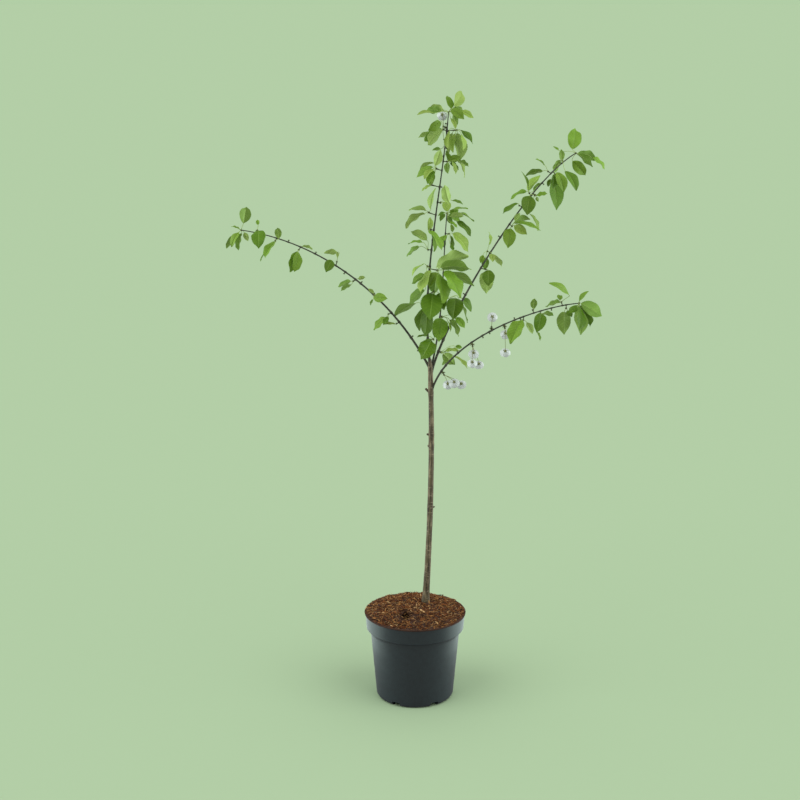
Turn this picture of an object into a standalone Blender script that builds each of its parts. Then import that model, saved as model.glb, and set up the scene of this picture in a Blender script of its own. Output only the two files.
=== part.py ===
"""A young cherry tree in a round nursery pot: pot, soil, trunk, boughs, leafy spurs and blossom.

Metres, +Z up, the front towards -Y. The origin is the middle of the pot's flat underside.
"""
import math
import random
from collections import namedtuple

import bmesh
import bpy
from mathutils import Matrix, Vector
from mathutils.bvhtree import BVHTree

OBJECT_NAME = "potted_cherry_tree"
MM = 0.001
CLEAR = 0.3 * MM
WELD = 0.005 * MM
FINE_WELD = 0.001 * MM

# The pot: a thin tapered wall under a deep rim band, on a foot cut by six drain channels
POT_HEIGHT = 0.218
RIM_RADIUS = 0.1252
BAND_FOOT_RADIUS = 0.1222
BAND_FOOT_HEIGHT = 0.181
NECK_RADIUS = 0.1122
NECK_HEIGHT = 0.176
FOOT_RADIUS = 0.0975
FOOT_ROUND = 0.010
WALL = 0.002
SHELF = 0.8 * WALL
FLOOR = 0.012
POT_SIDES = 36
CHANNELS = 6
CHANNEL_WIDTH = 0.022
CHANNEL_HEIGHT = 0.011
CHANNEL_INNER_RADIUS = 0.045

# The mulch: level in the middle, lapping over the lip
MULCH_RADIUS = 0.1265
MULCH_TOP = 0.2337
MULCH_LEVEL_RADIUS = 0.062
MULCH_EDGE = 0.005
MULCH_FALL = 1.3
MULCH_SIDES = 24

# The trunk: a slight bow to the right, with a flare at the mulch
TRUNK_FOOT = Vector((0.027, 0.035, MULCH_TOP + CLEAR))
TRUNK_HANDLES = (Vector((0.039, 0.035, 0.443)), Vector((0.044, 0.035, 0.654)))
TRUNK_FORK = Vector((0.035, 0.035, 0.864))
TRUNK_LOW_RADIUS = 8.0 * MM
TRUNK_FORK_RADIUS = 6.3 * MM
TRUNK_FLARE = 3.0 * MM
TRUNK_FLARE_LENGTH = 0.035
TRUNK_SHOULDER = 4.6 * MM

# Pruned stubs and buds on the trunk: height, heading, length, foot radius and end radius in mm
KNOTS = (
    (0.778, 140, 17, 4.0, 2.6),
    (0.674, 185, 11, 5.0, 2.4),
    (0.646, 200, 9, 4.5, 2.6),
    (0.484, 5, 11, 3.2, 1.6),
)

# The leaf and the petal
LEAF_BREADTH = 0.56
LEAF_THICKNESS = 1.1 * MM
LEAF_RINGS = 4
SMALL_LEAF_RINGS = 3
SMALL_LEAF = 0.040
STALK_ROOT_RADIUS = 0.9 * MM
STALK_TIP_RADIUS = 0.55 * MM
STALK_RISE = 35.0
HUB_RADIUS = 2.2 * MM
STEM_RADIUS = 1.2 * MM
KNEE = 2.2 * MM
PETAL_LENGTH = 13.0 * MM
PETAL_THICKNESS = 1.2 * MM
PETALS = 5
NOTCH = 0.62
CALYX_LENGTH = 5.0 * MM
CALYX_RADIUS = 2.2 * MM

# The seeded rule that leans and turns each leaf in depth
SEED = 41
TRIES = 60
NEARER = 0.02
LEAN = (8.0, 30.0)
STALK_LEAN = (15.0, 55.0)
MOST_LEAN = 58.0
FOLD = (8.0, 24.0)
BEND = (12.0, 48.0)
SPARE_WIDTH = 1.06
SPARE_THICKNESS = 2.2 * MM

# The picture plane: the tree is described as it is seen from a little above its front
LOOK_DOWN = math.radians(14.0)
ACROSS = Vector((1.0, 0.0, 0.0))
UPWARD = Vector((0.0, math.sin(LOOK_DOWN), math.cos(LOOK_DOWN)))
TOWARD = Vector((0.0, -math.cos(LOOK_DOWN), math.sin(LOOK_DOWN)))

LimbPlan = namedtuple("LimbPlan", "handles foot_radius tip_radius bare_to")
LIMBS = {
    "bough_left": LimbPlan(
        ((0.038, 0.035, 0.835), (-0.061, 0.045, 1.032), (-0.241, 0.075, 1.149), (-0.425, 0.105, 1.171)),
        3.2, 1.2, 0.93),
    "bough_upper_right": LimbPlan(
        ((0.038, 0.036, 0.828), (0.077, 0.062, 0.975), (0.277, 0.175, 1.283), (0.401, 0.245, 1.344)),
        3.3, 1.3, 0.95),
    "bough_lower_right": LimbPlan(
        ((0.039, 0.035, 0.782), (0.076, 0.012, 0.928), (0.298, -0.115, 1.027), (0.372, -0.165, 1.041)),
        2.7, 1.2, 0.95),
    "leader": LimbPlan(
        ((0.035, 0.035, 0.854), (0.010, 0.035, 1.061), (0.061, 0.035, 1.261), (0.076, 0.035, 1.459)),
        3.2, 1.2, 0.95),
    "second_shoot": LimbPlan(
        ((0.037, 0.035, 0.840), (0.071, 0.092, 0.954), (0.065, 0.081, 1.091), (0.076, 0.101, 1.213)),
        2.5, 1.2, 0.95),
}
LIMB_PIECES = 12
TIP_PIECES = 2

# Each spur: name, limb, place along the limb, its stem's heading and length as seen, how far the
# stem's end comes towards the viewer, then its leaves.
# A leaf is its heading, blade length, blade width and stalk length, and its stalk's own heading where
# that isn't the usual one. Headings are in degrees in the picture plane, with 0 to the right and
# 90 up. Lengths are as seen, in mm.
SpurPlan = namedtuple("SpurPlan", "name limb along heading stem toward leaves")
SPURS = (
    SpurPlan("left_1", "bough_left", 0.24, 200, 3, 0, ((184, 25, 7, 3, 205),)),
    SpurPlan("left_2", "bough_left", 0.29, 190, 3, 0, ((226, 44, 17, 9, 236), (244, 24, 13, 6, 265))),
    SpurPlan("left_3", "bough_left", 0.39, 60, 1, 5,
             ((-8, 34, 23, 8, 262), (143, 17, 8, 2, 120), (247, 16, 6, 14, 260))),
    SpurPlan("left_4", "bough_left", 0.487, 190, 3, 0,
             ((205, 34, 11, 5, 190), (212, 30, 9, 9, 240), (10, 18, 9, 14, 31))),
    SpurPlan("left_5", "bough_left", 0.605, 90, 2, 6, ((243, 34, 24, 3, 60),)),
    SpurPlan("left_6", "bough_left", 0.585, 80, 6, 0, ((182, 34, 12, 25, 87), (100, 14, 7, 10, 80))),
    SpurPlan("left_7", "bough_left", 0.746, 230, 4, 0,
             ((250, 54, 25, 5, 235), (257, 50, 22, 6, 265), (-17, 26, 6, 12, 50))),
    SpurPlan("left_8", "bough_left", 0.85, 230, 3, 0,
             ((240, 50, 20, 3, -60), (229, 49, 9, 14, 240), (95, 25, 17, 10, 22))),
    SpurPlan("left_9", "bough_left", 0.93, 100, 4, 6, ((-84, 48, 35, 4, -10), (100, 14, 9, 14, 85))),
    SpurPlan("leader_1", "leader", 0.1, 0, 10, 18, ((243, 55, 42, 5), (185, 30, 5, 12))),
    SpurPlan("leader_2", "leader", 0.245, 215, 5, 6, ((266, 66, 31, 14, -70), (212, 61, 18, 23, 170))),
    SpurPlan("leader_3", "leader", 0.285, 20, 12, 22, ((266, 68, 53, 6), (-72, 44, 28, 12, -20))),
    SpurPlan("leader_4", "leader", 0.335, 195, 5, 4, ((223, 52, 21, 21, 266),)),
    SpurPlan("leader_5", "leader", 0.385, -15, 16, 12,
             ((20, 84, 30, 10, 105), (-4, 72, 24, 9, 40), (-25, 76, 20, 21, -8), (-64, 76, 34, 18, -5),
              (-86, 74, 32, 8, -72), (245, 41, 22, 6, 225))),
    SpurPlan("leader_6", "leader", 0.395, 190, 4, 8,
             ((246, 62, 21, 13, -56), (227, 40, 7, 11, 153), (219, 39, 14, 22, 250))),
    SpurPlan("leader_7", "leader", 0.46, 180, 4, 0,
             ((151, 45, 18, 22, 97), (184, 34, 8, 23, 126), (220, 39, 9, 22, 164))),
    SpurPlan("leader_8", "leader", 0.54, 180, 5, 6, ((-58, 58, 17, 6, 200), (82, 33, 14, 6, 180))),
    SpurPlan("leader_9", "leader", 0.6, 160, 14, 0,
             ((183, 42, 7, 7, 149), (218, 56, 13, 9, 188), (77, 50, 12, 8, 51))),
    SpurPlan("leader_10", "leader", 0.65, -10, 4, 4, ((106, 42, 23, 20, -12), (-18, 28, 5, 30, 18))),
    SpurPlan("leader_11", "leader", 0.71, 165, 15, 0, ((209, 25, 8, 3, 200),)),
    SpurPlan("leader_12", "leader", 0.775, 160, 10, 0,
             ((72, 38, 21, 7, 118), (209, 46, 19, 9, 150), (203, 37, 6, 18, 106), (231, 35, 14, 7, 190),
              (246, 36, 17, 8, 231), (250, 30, 14, 12, 250))),
    SpurPlan("leader_13", "leader", 0.81, 0, 5, 0,
             ((-88, 26, 14, 2, -40), (-77, 31, 10, 13, -5), (-76, 37, 4, 31, -11), (-22, 32, 7, 23, 9),
              (20, 31, 18, 4, 40), (98, 25, 12, 5, 60), (-35, 26, 13, 8, -10))),
    SpurPlan("leader_14", "leader", 0.93, 170, 6, 4,
             ((217, 37, 20, 17, 115), (229, 52, 24, 3, 230), (196, 35, 9, 25, 186), (214, 27, 8, 24, 201),
              (201, 34, 20, 6, 143), (187, 21, 7, 39, 264), (222, 40, 18, 14, 200))),
    SpurPlan("leader_15", "leader", 0.93, 3, 20, 0,
             ((-46, 44, 10, 8, 5), (-87, 60, 28, 7, -80), (261, 46, 17, 11, 204), (-84, 42, 12, 15, -52),
              (266, 47, 11, 19, 195), (264, 48, 14, 10, 245))),
    SpurPlan("second_1", "second_shoot", 0.34, 0, 3, 15,
             ((265, 60, 39, 4), (-62, 46, 13, 20, -25), (-50, 34, 18, 34, -5), (-78, 28, 6, 18, -40))),
    SpurPlan("second_3", "second_shoot", 0.45, 5, 8, 8,
             ((-96, 56, 42, 22, 5), (-52, 40, 19, 40, 8), (-71, 60, 5, 34, 4))),
    SpurPlan("second_5", "second_shoot", 0.87, 0, 5, 0,
             ((-49, 59, 25, 9, 8), (-85, 30, 9, 6), (262, 30, 8, 8), (-60, 16, 9, 30, -85))),
    SpurPlan("fork_1", "bough_upper_right", 0.085, -30, 3, 5,
             ((3, 40, 9, 6, 10), (-42, 40, 26, 7, -30), (-45, 42, 9, 35, -18), (-8, 17, 10, 40, 23),
              (222, 20, 8, 26, -49))),
    SpurPlan("upper_1", "bough_upper_right", 0.427, -10, 8, 0,
             ((-91, 42, 31, 6, -20), (-91, 56, 36, 4, -30))),
    SpurPlan("upper_2", "bough_upper_right", 0.492, 160, 4, 0,
             ((90, 32, 8, 18, 74), (265, 30, 19, 14, 260), (253, 21, 12, 16, 225), (-85, 22, 16, 13, -34),
              (-48, 38, 10, 15, -32))),
    SpurPlan("upper_4", "bough_upper_right", 0.62, -50, 4, 0,
             ((260, 52, 32, 7, 230), (-38, 38, 22, 6, 20), (-19, 66, 15, 12, 55), (17, 45, 14, 10, 60),
              (60, 22, 12, 14, 62))),
    SpurPlan("upper_5", "bough_upper_right", 0.7, 160, 4, 0, ((215, 46, 13, 6, 130),)),
    SpurPlan("upper_6", "bough_upper_right", 0.756, 120, 4, 0,
             ((112, 50, 7, 6, 110), (51, 50, 18, 6, 110), (47, 28, 7, 10, 20), (207, 42, 12, 8, 140))),
    SpurPlan("upper_7", "bough_upper_right", 0.765, -60, 4, 6,
             ((258, 53, 36, 15, 193), (5, 28, 12, 3, -20), (-63, 46, 5, 43, -103), (-60, 12, 8, 6, -50))),
    SpurPlan("upper_8", "bough_upper_right", 0.87, 150, 5, 0,
             ((194, 43, 11, 12, 165), (152, 26, 4, 17, 128))),
    SpurPlan("upper_9", "bough_upper_right", 0.88, -65, 6, 4,
             ((-80, 74, 30, 13, 248), (-74, 54, 28, 7, 45), (262, 40, 18, 3, 180), (250, 20, 10, 14, 225))),
    SpurPlan("upper_10", "bough_upper_right", 0.93, 100, 4, 8,
             ((97, 26, 13, 2, 180), (247, 36, 15, 4, 150), (-65, 57, 27, 31, -82))),
    SpurPlan("lower_1", "bough_lower_right", 0.69, 260, 4, 0,
             ((243, 64, 32, 3, 180), (-61, 31, 13, 10, -30))),
    SpurPlan("lower_2", "bough_lower_right", 0.75, 100, 4, 0, ((88, 24, 16, 2, 60),)),
    SpurPlan("lower_3", "bough_lower_right", 0.79, 265, 4, 4,
             ((250, 47, 29, 3, 0), (-12, 28, 10, 5, 15), (-74, 23, 4, 44, -102))),
    SpurPlan("lower_4", "bough_lower_right", 0.91, 110, 5, 0,
             ((197, 38, 10, 3, 200), (92, 14, 13, 5, 110), (151, 54, 17, 23, 43))),
    SpurPlan("lower_5", "bough_lower_right", 0.93, 265, 4, 0,
             ((-89, 52, 33, 8, 250), (-60, 18, 14, 6, -60))),
)

# The end masses go on along their limb's own line: limb, then leaves
TIPS = (
    ("bough_left",
     ((75, 37, 29, 17, 69), (163, 22, 5, 2, 150), (231, 45, 11, 12, 219), (246, 41, 17, 7, 235),
      (258, 42, 11, 7, 270), (-71, 22, 13, 9, -36))),
    ("leader",
     ((104, 35, 17, 11, 58), (68, 45, 24, 20, 47), (-27, 32, 16, 31, 8), (-44, 39, 22, 9, 42),
      (10, 28, 22, 10, 30), (-75, 30, 12, 12, -10), (-68, 29, 11, 16, -72), (170, 36, 14, 13, 145),
      (182, 37, 15, 17, 178), (190, 42, 12, 35, 194))),
    ("second_shoot",
     ((2, 39, 8, 14, 31), (-25, 45, 6, 27, 5), (0, 34, 12, 12, -53), (-47, 50, 17, 30, -35),
      (-41, 26, 8, 22, -77), (93, 30, 22, 4, 85), (-76, 20, 10, 26, -65), (200, 18, 9, 5), (240, 22, 11, 6),
      (-60, 22, 14, 6, -60), (10, 24, 14, 6, 20), (-28, 30, 16, 6, -30))),
    ("bough_upper_right",
     ((76, 57, 36, 14, 121), (-46, 48, 28, 20, 248), (-45, 49, 13, 6, -25), (-17, 51, 17, 4, -20),
      (-38, 44, 14, 42, -14), (141, 17, 7, 41, 159))),
    ("bough_lower_right",
     ((-60, 56, 19, 5, -60), (-38, 54, 28, 4, 0), (-92, 56, 22, 10, 240), (-82, 60, 27, 12, 262),
      (48, 32, 9, 4, 95), (215, 30, 16, 7, 255))),
)

# Blossom hangs in small bunches: name, limb, place along, the stem as for a spur,
# then each flower's heading and stalk length in mm
BLOSSOMS = (
    ("blossom_1", "bough_lower_right", 0.13, 290, 6, 0, ((-66, 24), (-36, 30), (-27, 48))),
    ("blossom_2", "bough_lower_right", 0.367, 275, 5, 0, ((-81, 16), (268, 38), (-69, 45))),
    ("blossom_3", "bough_lower_right", 0.5, 85, 5, 0, ((85, 24),)),
    ("blossom_4", "bough_lower_right", 0.575, 280, 5, 0, ((-90, 54), (-80, 12))),
    ("blossom_5", "leader", 0.94, 150, 5, 0, ((97, 28),)),
)

Leaf = namedtuple("Leaf", "base along face breadth_way length width fold bend")


def remove_old_objects():
    for item in list(bpy.data.objects):
        bpy.data.objects.remove(item, do_unlink=True)


def new_collection(name):
    group = bpy.data.collections.new(name)
    bpy.context.scene.collection.children.link(group)
    return group


def plain_material(name, colour, roughness):
    material = bpy.data.materials.new(name)
    material.use_nodes = True
    shader = material.node_tree.nodes["Principled BSDF"]
    shader.inputs["Base Color"].default_value = (*colour, 1.0)
    shader.inputs["Roughness"].default_value = roughness
    shader.inputs["Metallic"].default_value = 0.0
    return material


def mesh_object(name, mesh, group):
    item = bpy.data.objects.new(name, mesh)
    group.objects.link(item)
    return item


def object_from_bmesh(name, shape, group):
    mesh = bpy.data.meshes.new(name)
    bmesh.ops.recalc_face_normals(shape, faces=shape.faces)
    shape.to_mesh(mesh)
    shape.free()
    return mesh_object(name, mesh, group)


def evaluated_mesh(item):
    bpy.context.view_layer.update()
    graph = bpy.context.evaluated_depsgraph_get()
    return bpy.data.meshes.new_from_object(item.evaluated_get(graph))


def weld(mesh):
    shape = bmesh.new()
    shape.from_mesh(mesh)
    bmesh.ops.remove_doubles(shape, verts=shape.verts, dist=WELD)
    bmesh.ops.recalc_face_normals(shape, faces=shape.faces)
    shape.to_mesh(mesh)
    shape.free()


def three_sided_section(group):
    """The cross-section of a leaf stalk, kept as a curve guide."""
    curve = bpy.data.curves.new("stalk_section", "CURVE")
    curve.dimensions = "2D"
    spline = curve.splines.new("POLY")
    spline.points.add(2)
    for number, point in enumerate(spline.points):
        turn = math.radians(90 + 120 * number)
        point.co = (math.cos(turn), math.sin(turn), 0.0, 1.0)
    spline.use_cyclic_u = True
    item = bpy.data.objects.new("stalk_section", curve)
    item.hide_render = True
    item.display_type = "WIRE"
    group.objects.link(item)
    return item


def tube(name, points, radii, group, resolution=2, section=None):
    """A tapered tube along a chain of points: a bevelled curve with capped ends, made a mesh."""
    curve = bpy.data.curves.new(name, "CURVE")
    curve.dimensions = "3D"
    curve.use_fill_caps = True
    if section is None:
        curve.bevel_depth = 1.0
        curve.bevel_resolution = resolution
    else:
        curve.bevel_mode = "OBJECT"
        curve.bevel_object = section
    spline = curve.splines.new("POLY")
    spline.points.add(len(points) - 1)
    for spline_point, point, radius in zip(spline.points, points, radii):
        spline_point.co = (*point, 1.0)
        spline_point.radius = radius
    line = bpy.data.objects.new(f"{name}_line", curve)
    group.objects.link(line)
    mesh = evaluated_mesh(line)
    weld(mesh)
    place = line.matrix_world.copy()
    bpy.data.objects.remove(line, do_unlink=True)
    bpy.data.curves.remove(curve)
    solid = mesh_object(name, mesh, group)
    solid.matrix_world = place
    return solid


def finish_object(item, material, frame):
    item.data.materials.clear()
    item.data.materials.append(material)
    item.data.shade_smooth()
    item.data.set_sharp_from_angle(angle=math.radians(40.0))
    item.parent = frame
    return item


def set_origin(item, place):
    """Moves the object's origin to its foot and leaves its shape where it is."""
    item.data.transform(Matrix.Translation(-place))
    item.location = place


def biggest_piece(shape):
    """Deletes every loose scrap and keeps the largest body, as its faces join along edges."""
    left = set(shape.faces)
    pieces = []
    while left:
        front = [left.pop()]
        piece = set(front)
        while front:
            face = front.pop()
            for edge in face.edges:
                for other in edge.link_faces:
                    if other not in piece:
                        piece.add(other)
                        left.discard(other)
                        front.append(other)
        pieces.append(piece)
    pieces.sort(key=len, reverse=True)
    scraps = [face for piece in pieces[1:] for face in piece]
    bmesh.ops.delete(shape, geom=scraps, context="FACES")


def fuse(body, parts):
    """Joins a collection of closed solids onto a body with one Boolean union, and applies it."""
    best = None
    for solver, weld in (("EXACT", WELD), ("MANIFOLD", WELD), ("EXACT", FINE_WELD), ("MANIFOLD", FINE_WELD)):
        union = body.modifiers.new("join", "BOOLEAN")
        union.operation = "UNION"
        union.operand_type = "COLLECTION"
        union.collection = parts
        union.solver = solver
        mesh = evaluated_mesh(body)
        body.modifiers.remove(union)
        shape = bmesh.new()
        shape.from_mesh(mesh)
        bmesh.ops.remove_doubles(shape, verts=shape.verts, dist=weld)
        bmesh.ops.dissolve_degenerate(shape, edges=shape.edges, dist=weld)
        biggest_piece(shape)
        closed = all(edge.is_manifold for edge in shape.edges)
        shape.to_mesh(mesh)
        shape.free()
        if closed or best is None:
            best = mesh
        if closed:
            break
    body.data = best
    for item in list(parts.objects):
        bpy.data.objects.remove(item, do_unlink=True)
    return body


def cut(body, cutters):
    """Keeps a Boolean difference on the body, with every cutter in the collection."""
    difference = body.modifiers.new("cut", "BOOLEAN")
    difference.operation = "DIFFERENCE"
    difference.operand_type = "COLLECTION"
    difference.collection = cutters
    difference.solver = "EXACT"


def as_cutter(item):
    item.hide_render = True
    item.display_type = "WIRE"
    return item


def turned(name, profile, sides, group):
    """A profile in the XZ plane, turned about Z with a Screw modifier."""
    mesh = bpy.data.meshes.new(name)
    points = [(radius, 0.0, height) for radius, height in profile]
    mesh.from_pydata(points, [(k, k + 1) for k in range(len(points) - 1)], [])
    item = mesh_object(name, mesh, group)
    screw = item.modifiers.new("turn", "SCREW")
    screw.angle = math.tau
    screw.steps = sides
    screw.render_steps = sides
    screw.use_merge_vertices = True
    screw.merge_threshold = 0.01 * MM
    return item


def arc(centre, radius, start, end, pieces):
    points = []
    for number in range(pieces + 1):
        turn = math.radians(start + (end - start) * number / pieces)
        points.append((centre[0] + radius * math.cos(turn), centre[1] + radius * math.sin(turn)))
    return points


def wall_inside(height):
    """The pot's inner radius at a height."""
    if height >= BAND_FOOT_HEIGHT:
        share = (height - BAND_FOOT_HEIGHT) / (POT_HEIGHT - BAND_FOOT_HEIGHT)
        return BAND_FOOT_RADIUS + (RIM_RADIUS - BAND_FOOT_RADIUS) * share - WALL
    share = (height - FLOOR) / (NECK_HEIGHT - FLOOR)
    low = FOOT_RADIUS + (NECK_RADIUS - FOOT_RADIUS) * FLOOR / NECK_HEIGHT
    return low + (NECK_RADIUS - low) * min(share, 1.0) - WALL


def make_pot(group, cutters):
    lip = WALL / 2
    profile = [(0.0, FLOOR), (wall_inside(FLOOR), FLOOR), (wall_inside(NECK_HEIGHT), NECK_HEIGHT + SHELF)]
    profile += [(wall_inside(BAND_FOOT_HEIGHT), BAND_FOOT_HEIGHT + SHELF)]
    profile += arc((RIM_RADIUS - lip, POT_HEIGHT - lip), lip, 180, 0, 2)
    profile += [(BAND_FOOT_RADIUS, BAND_FOOT_HEIGHT)]
    profile += [(BAND_FOOT_RADIUS - WALL / 2, BAND_FOOT_HEIGHT - WALL / 2)]
    profile += [(NECK_RADIUS, NECK_HEIGHT)]
    profile += arc((FOOT_RADIUS - FOOT_ROUND, FOOT_ROUND), FOOT_ROUND, 0, -90, 2)
    profile += [(0.0, 0.0)]
    pot = turned("pot", profile, POT_SIDES, group)
    reach = FOOT_RADIUS - CHANNEL_INNER_RADIUS + 0.01
    depth = CHANNEL_HEIGHT + 0.005
    for number in range(CHANNELS):
        turn = math.tau * number / CHANNELS
        way = Vector((math.cos(turn), math.sin(turn), 0.0))
        bpy.ops.mesh.primitive_cube_add(size=1.0)
        channel = as_cutter(bpy.context.active_object)
        channel.name = f"channel_{number + 1}"
        channel.dimensions = (reach, CHANNEL_WIDTH, depth)
        channel.location = way * (CHANNEL_INNER_RADIUS + reach / 2)
        channel.location.z = CHANNEL_HEIGHT - depth / 2
        channel.rotation_euler.z = turn
        move_to(channel, cutters)
    cut(pot, cutters)
    return pot


def move_to(item, group):
    for old in list(item.users_collection):
        old.objects.unlink(item)
    group.objects.link(item)


def make_mulch(group):
    lap = POT_HEIGHT + CLEAR
    edge = (MULCH_RADIUS - MULCH_EDGE, lap + MULCH_EDGE)
    profile = [(0.0, MULCH_TOP), (MULCH_LEVEL_RADIUS, MULCH_TOP)]
    slope = MULCH_RADIUS - MULCH_EDGE - MULCH_LEVEL_RADIUS
    drop = MULCH_TOP - edge[1]
    for share in (0.4, 0.75):
        profile.append((MULCH_LEVEL_RADIUS + slope * share, MULCH_TOP - drop * share ** MULCH_FALL))
    profile += arc((edge[0], lap), MULCH_EDGE, 90, 0, 2)
    inside = wall_inside(POT_HEIGHT) - 3 * CLEAR
    profile += [(inside, lap), (wall_inside(BAND_FOOT_HEIGHT) - 3 * CLEAR, BAND_FOOT_HEIGHT + 2 * SHELF)]
    profile += [(wall_inside(NECK_HEIGHT) - 3 * CLEAR, NECK_HEIGHT + 2 * SHELF)]
    profile += [(wall_inside(FLOOR) - 3 * CLEAR, FLOOR + CLEAR), (0.0, FLOOR + CLEAR)]
    return turned("mulch", profile, MULCH_SIDES, group)


def bezier(handles, share):
    rest = 1.0 - share
    first, second, third, fourth = handles
    return (first * rest ** 3 + second * (3 * rest * rest * share)
            + third * (3 * rest * share * share) + fourth * share ** 3)


class Line:
    """A limb's centre line, measured along its length from foot to tip."""

    def __init__(self, handles, radius_at, stations):
        handles = [Vector(handle) for handle in handles]
        fine = [bezier(handles, number / 200) for number in range(201)]
        reach = [0.0]
        for here, there in zip(fine, fine[1:]):
            reach.append(reach[-1] + (there - here).length)
        self.length = reach[-1]
        self.stations = stations
        self.radius_at = radius_at
        self.points = []
        for station in stations:
            want = station * self.length
            number = next((k for k in range(200) if reach[k + 1] >= want), 199)
            share = (want - reach[number]) / (reach[number + 1] - reach[number])
            self.points.append(fine[number].lerp(fine[number + 1], min(share, 1.0)))
        self.radii = [radius_at(station) for station in stations]

    def at(self, along):
        """The point, direction and radius at a place along the chain."""
        number = 0
        while number < len(self.stations) - 2 and self.stations[number + 1] < along:
            number += 1
        low, high = self.stations[number], self.stations[number + 1]
        share = (along - low) / (high - low)
        here, there = self.points[number], self.points[number + 1]
        radius = self.radii[number] + (self.radii[number + 1] - self.radii[number]) * share
        return here.lerp(there, share), (there - here).normalized(), radius


def trunk_radius(along):
    height = along * (TRUNK_FORK.z - TRUNK_FOOT.z)
    radius = TRUNK_LOW_RADIUS + (TRUNK_FORK_RADIUS - TRUNK_LOW_RADIUS) * along
    radius += TRUNK_FLARE * math.exp(-height / TRUNK_FLARE_LENGTH)
    return radius if along < 1.0 else TRUNK_SHOULDER


def trunk_line():
    stations = [0.0, 0.010, 0.030, 0.065]
    stations += [0.065 + 0.90 * number / 12 for number in range(1, 13)]
    stations += [0.985, 1.0]
    line = Line((TRUNK_FOOT, *TRUNK_HANDLES, TRUNK_FORK), trunk_radius, stations)
    line.points[1].x = line.points[0].x
    line.points[1].y = line.points[0].y
    return line


def limb_line(plan):
    def radius_at(along):
        return (plan.foot_radius + (plan.tip_radius - plan.foot_radius) * along ** 0.7) * MM

    stations = [plan.bare_to * number / LIMB_PIECES for number in range(LIMB_PIECES)]
    rest = 1.0 - plan.bare_to
    stations += [plan.bare_to + rest * number / TIP_PIECES for number in range(TIP_PIECES + 1)]
    return Line(plan.handles, radius_at, stations)


def seen_way(heading):
    turn = math.radians(heading)
    return ACROSS * math.cos(turn) + UPWARD * math.sin(turn)


def make_trunk(line, group, parts):
    trunk = tube("trunk", line.points, line.radii, group, resolution=4)
    for height, heading, length, foot, end in KNOTS:
        along = (height - TRUNK_FOOT.z) / (TRUNK_FORK.z - TRUNK_FOOT.z)
        point, _, _ = line.at(along)
        tip = point + seen_way(heading) * (length * MM)
        tube("knot", (point, tip), (foot * MM, end * MM), parts, resolution=1)
    return fuse(trunk, parts)


def make_limb(name, line, plan, group, trunk_cutter):
    """The bare stretch of a limb, its foot cut to sit round the trunk."""
    count = LIMB_PIECES + 1
    limb = tube(name, line.points[:count], line.radii[:count], group, resolution=1)
    cut(limb, trunk_cutter)
    mesh = evaluated_mesh(limb)
    limb.modifiers.clear()
    limb.data = mesh
    return limb


def stalk_heading(heading):
    """A stalk rises: it leaves the spur nearer to upright than its blade hangs."""
    turn = (heading - 90.0 + 180.0) % 360.0 - 180.0
    eased = math.copysign(max(abs(turn) - STALK_RISE, 0.0), turn)
    return 90.0 + eased


def leaf_pose(hub, row, toward, rng, spread):
    """Leans and turns one leaf in depth, so that it looks as its row says from the front."""
    heading, seen_length, seen_width, seen_stalk, *own_way = row
    near = 1.0 if rng.random() < 0.5 + NEARER * toward else -1.0
    turn_way = rng.choice((-1.0, 1.0))
    lean = math.radians(rng.uniform(*LEAN))
    stalk_lean = math.radians(rng.uniform(*STALK_LEAN))
    fold = math.radians(rng.uniform(*FOLD))
    bend = math.radians(rng.uniform(*BEND))
    heading += rng.uniform(-spread, spread)
    length = seen_length / math.cos(lean)
    if seen_width > LEAF_BREADTH * length:
        length = seen_width / LEAF_BREADTH
        lean = min(math.acos(min(seen_length / length, 1.0)), math.radians(MOST_LEAN))
    width = LEAF_BREADTH * length
    turn = math.acos(min(seen_width / width, 1.0)) * turn_way
    seen = seen_way(heading)
    along = seen * math.cos(lean) + TOWARD * (math.sin(lean) * near)
    face = TOWARD * math.cos(lean) - seen * (math.sin(lean) * near)
    face = Matrix.Rotation(turn, 3, along) @ face
    if face.z < 0.0:
        face = -face
    stalk_way = seen_way(own_way[0] if own_way else stalk_heading(heading)) * math.cos(stalk_lean)
    stalk_way += TOWARD * (math.sin(stalk_lean) * near)
    base = hub + stalk_way * (seen_stalk * MM / math.cos(stalk_lean))
    return Leaf(base, along, face, along.cross(face), length * MM, width * MM, fold, bend)


def leaf_point(leaf, share, across, above):
    """A point of the blade, from its share of the length and its offsets across and above."""
    turn = leaf.bend * (0.5 - share)
    chord = 2.0 * math.sin(leaf.bend / 2)
    forward = (math.sin(leaf.bend / 2) - math.sin(turn)) / chord
    rise = (math.cos(turn) - math.cos(leaf.bend / 2)) / chord
    middle = leaf.base + leaf.along * (leaf.length * forward) + leaf.face * (leaf.length * rise)
    normal = leaf.face * math.cos(turn) - leaf.along * math.sin(turn)
    lift = above + abs(across) * math.tan(leaf.fold)
    return middle + leaf.breadth_way * across + normal * lift


def leaf_half_width(share):
    """The half-width of the blade as a share of its greatest: broadest just below the middle."""
    return math.sin(math.pi * share ** 0.88) ** 0.72


def blade(leaf, thickness, widen=1.0):
    """A closed blade, drawn out from a ball with four sides."""
    shape = bmesh.new()
    rings = LEAF_RINGS if leaf.length > SMALL_LEAF else SMALL_LEAF_RINGS
    bmesh.ops.create_uvsphere(shape, u_segments=4, v_segments=rings, radius=1.0)
    for vert in shape.verts:
        share = (1.0 + vert.co.z) / 2
        ring = math.sqrt(max(1.0 - vert.co.z ** 2, 0.0))
        across, above = 0.0, 0.0
        if ring > 0.01:
            size = leaf_half_width(share)
            across = vert.co.x / ring * size * leaf.width / 2 * widen
            above = vert.co.y / ring * size * thickness / 2
        vert.co = leaf_point(leaf, share, across, above)
    bmesh.ops.recalc_face_normals(shape, faces=shape.faces)
    return shape


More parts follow.
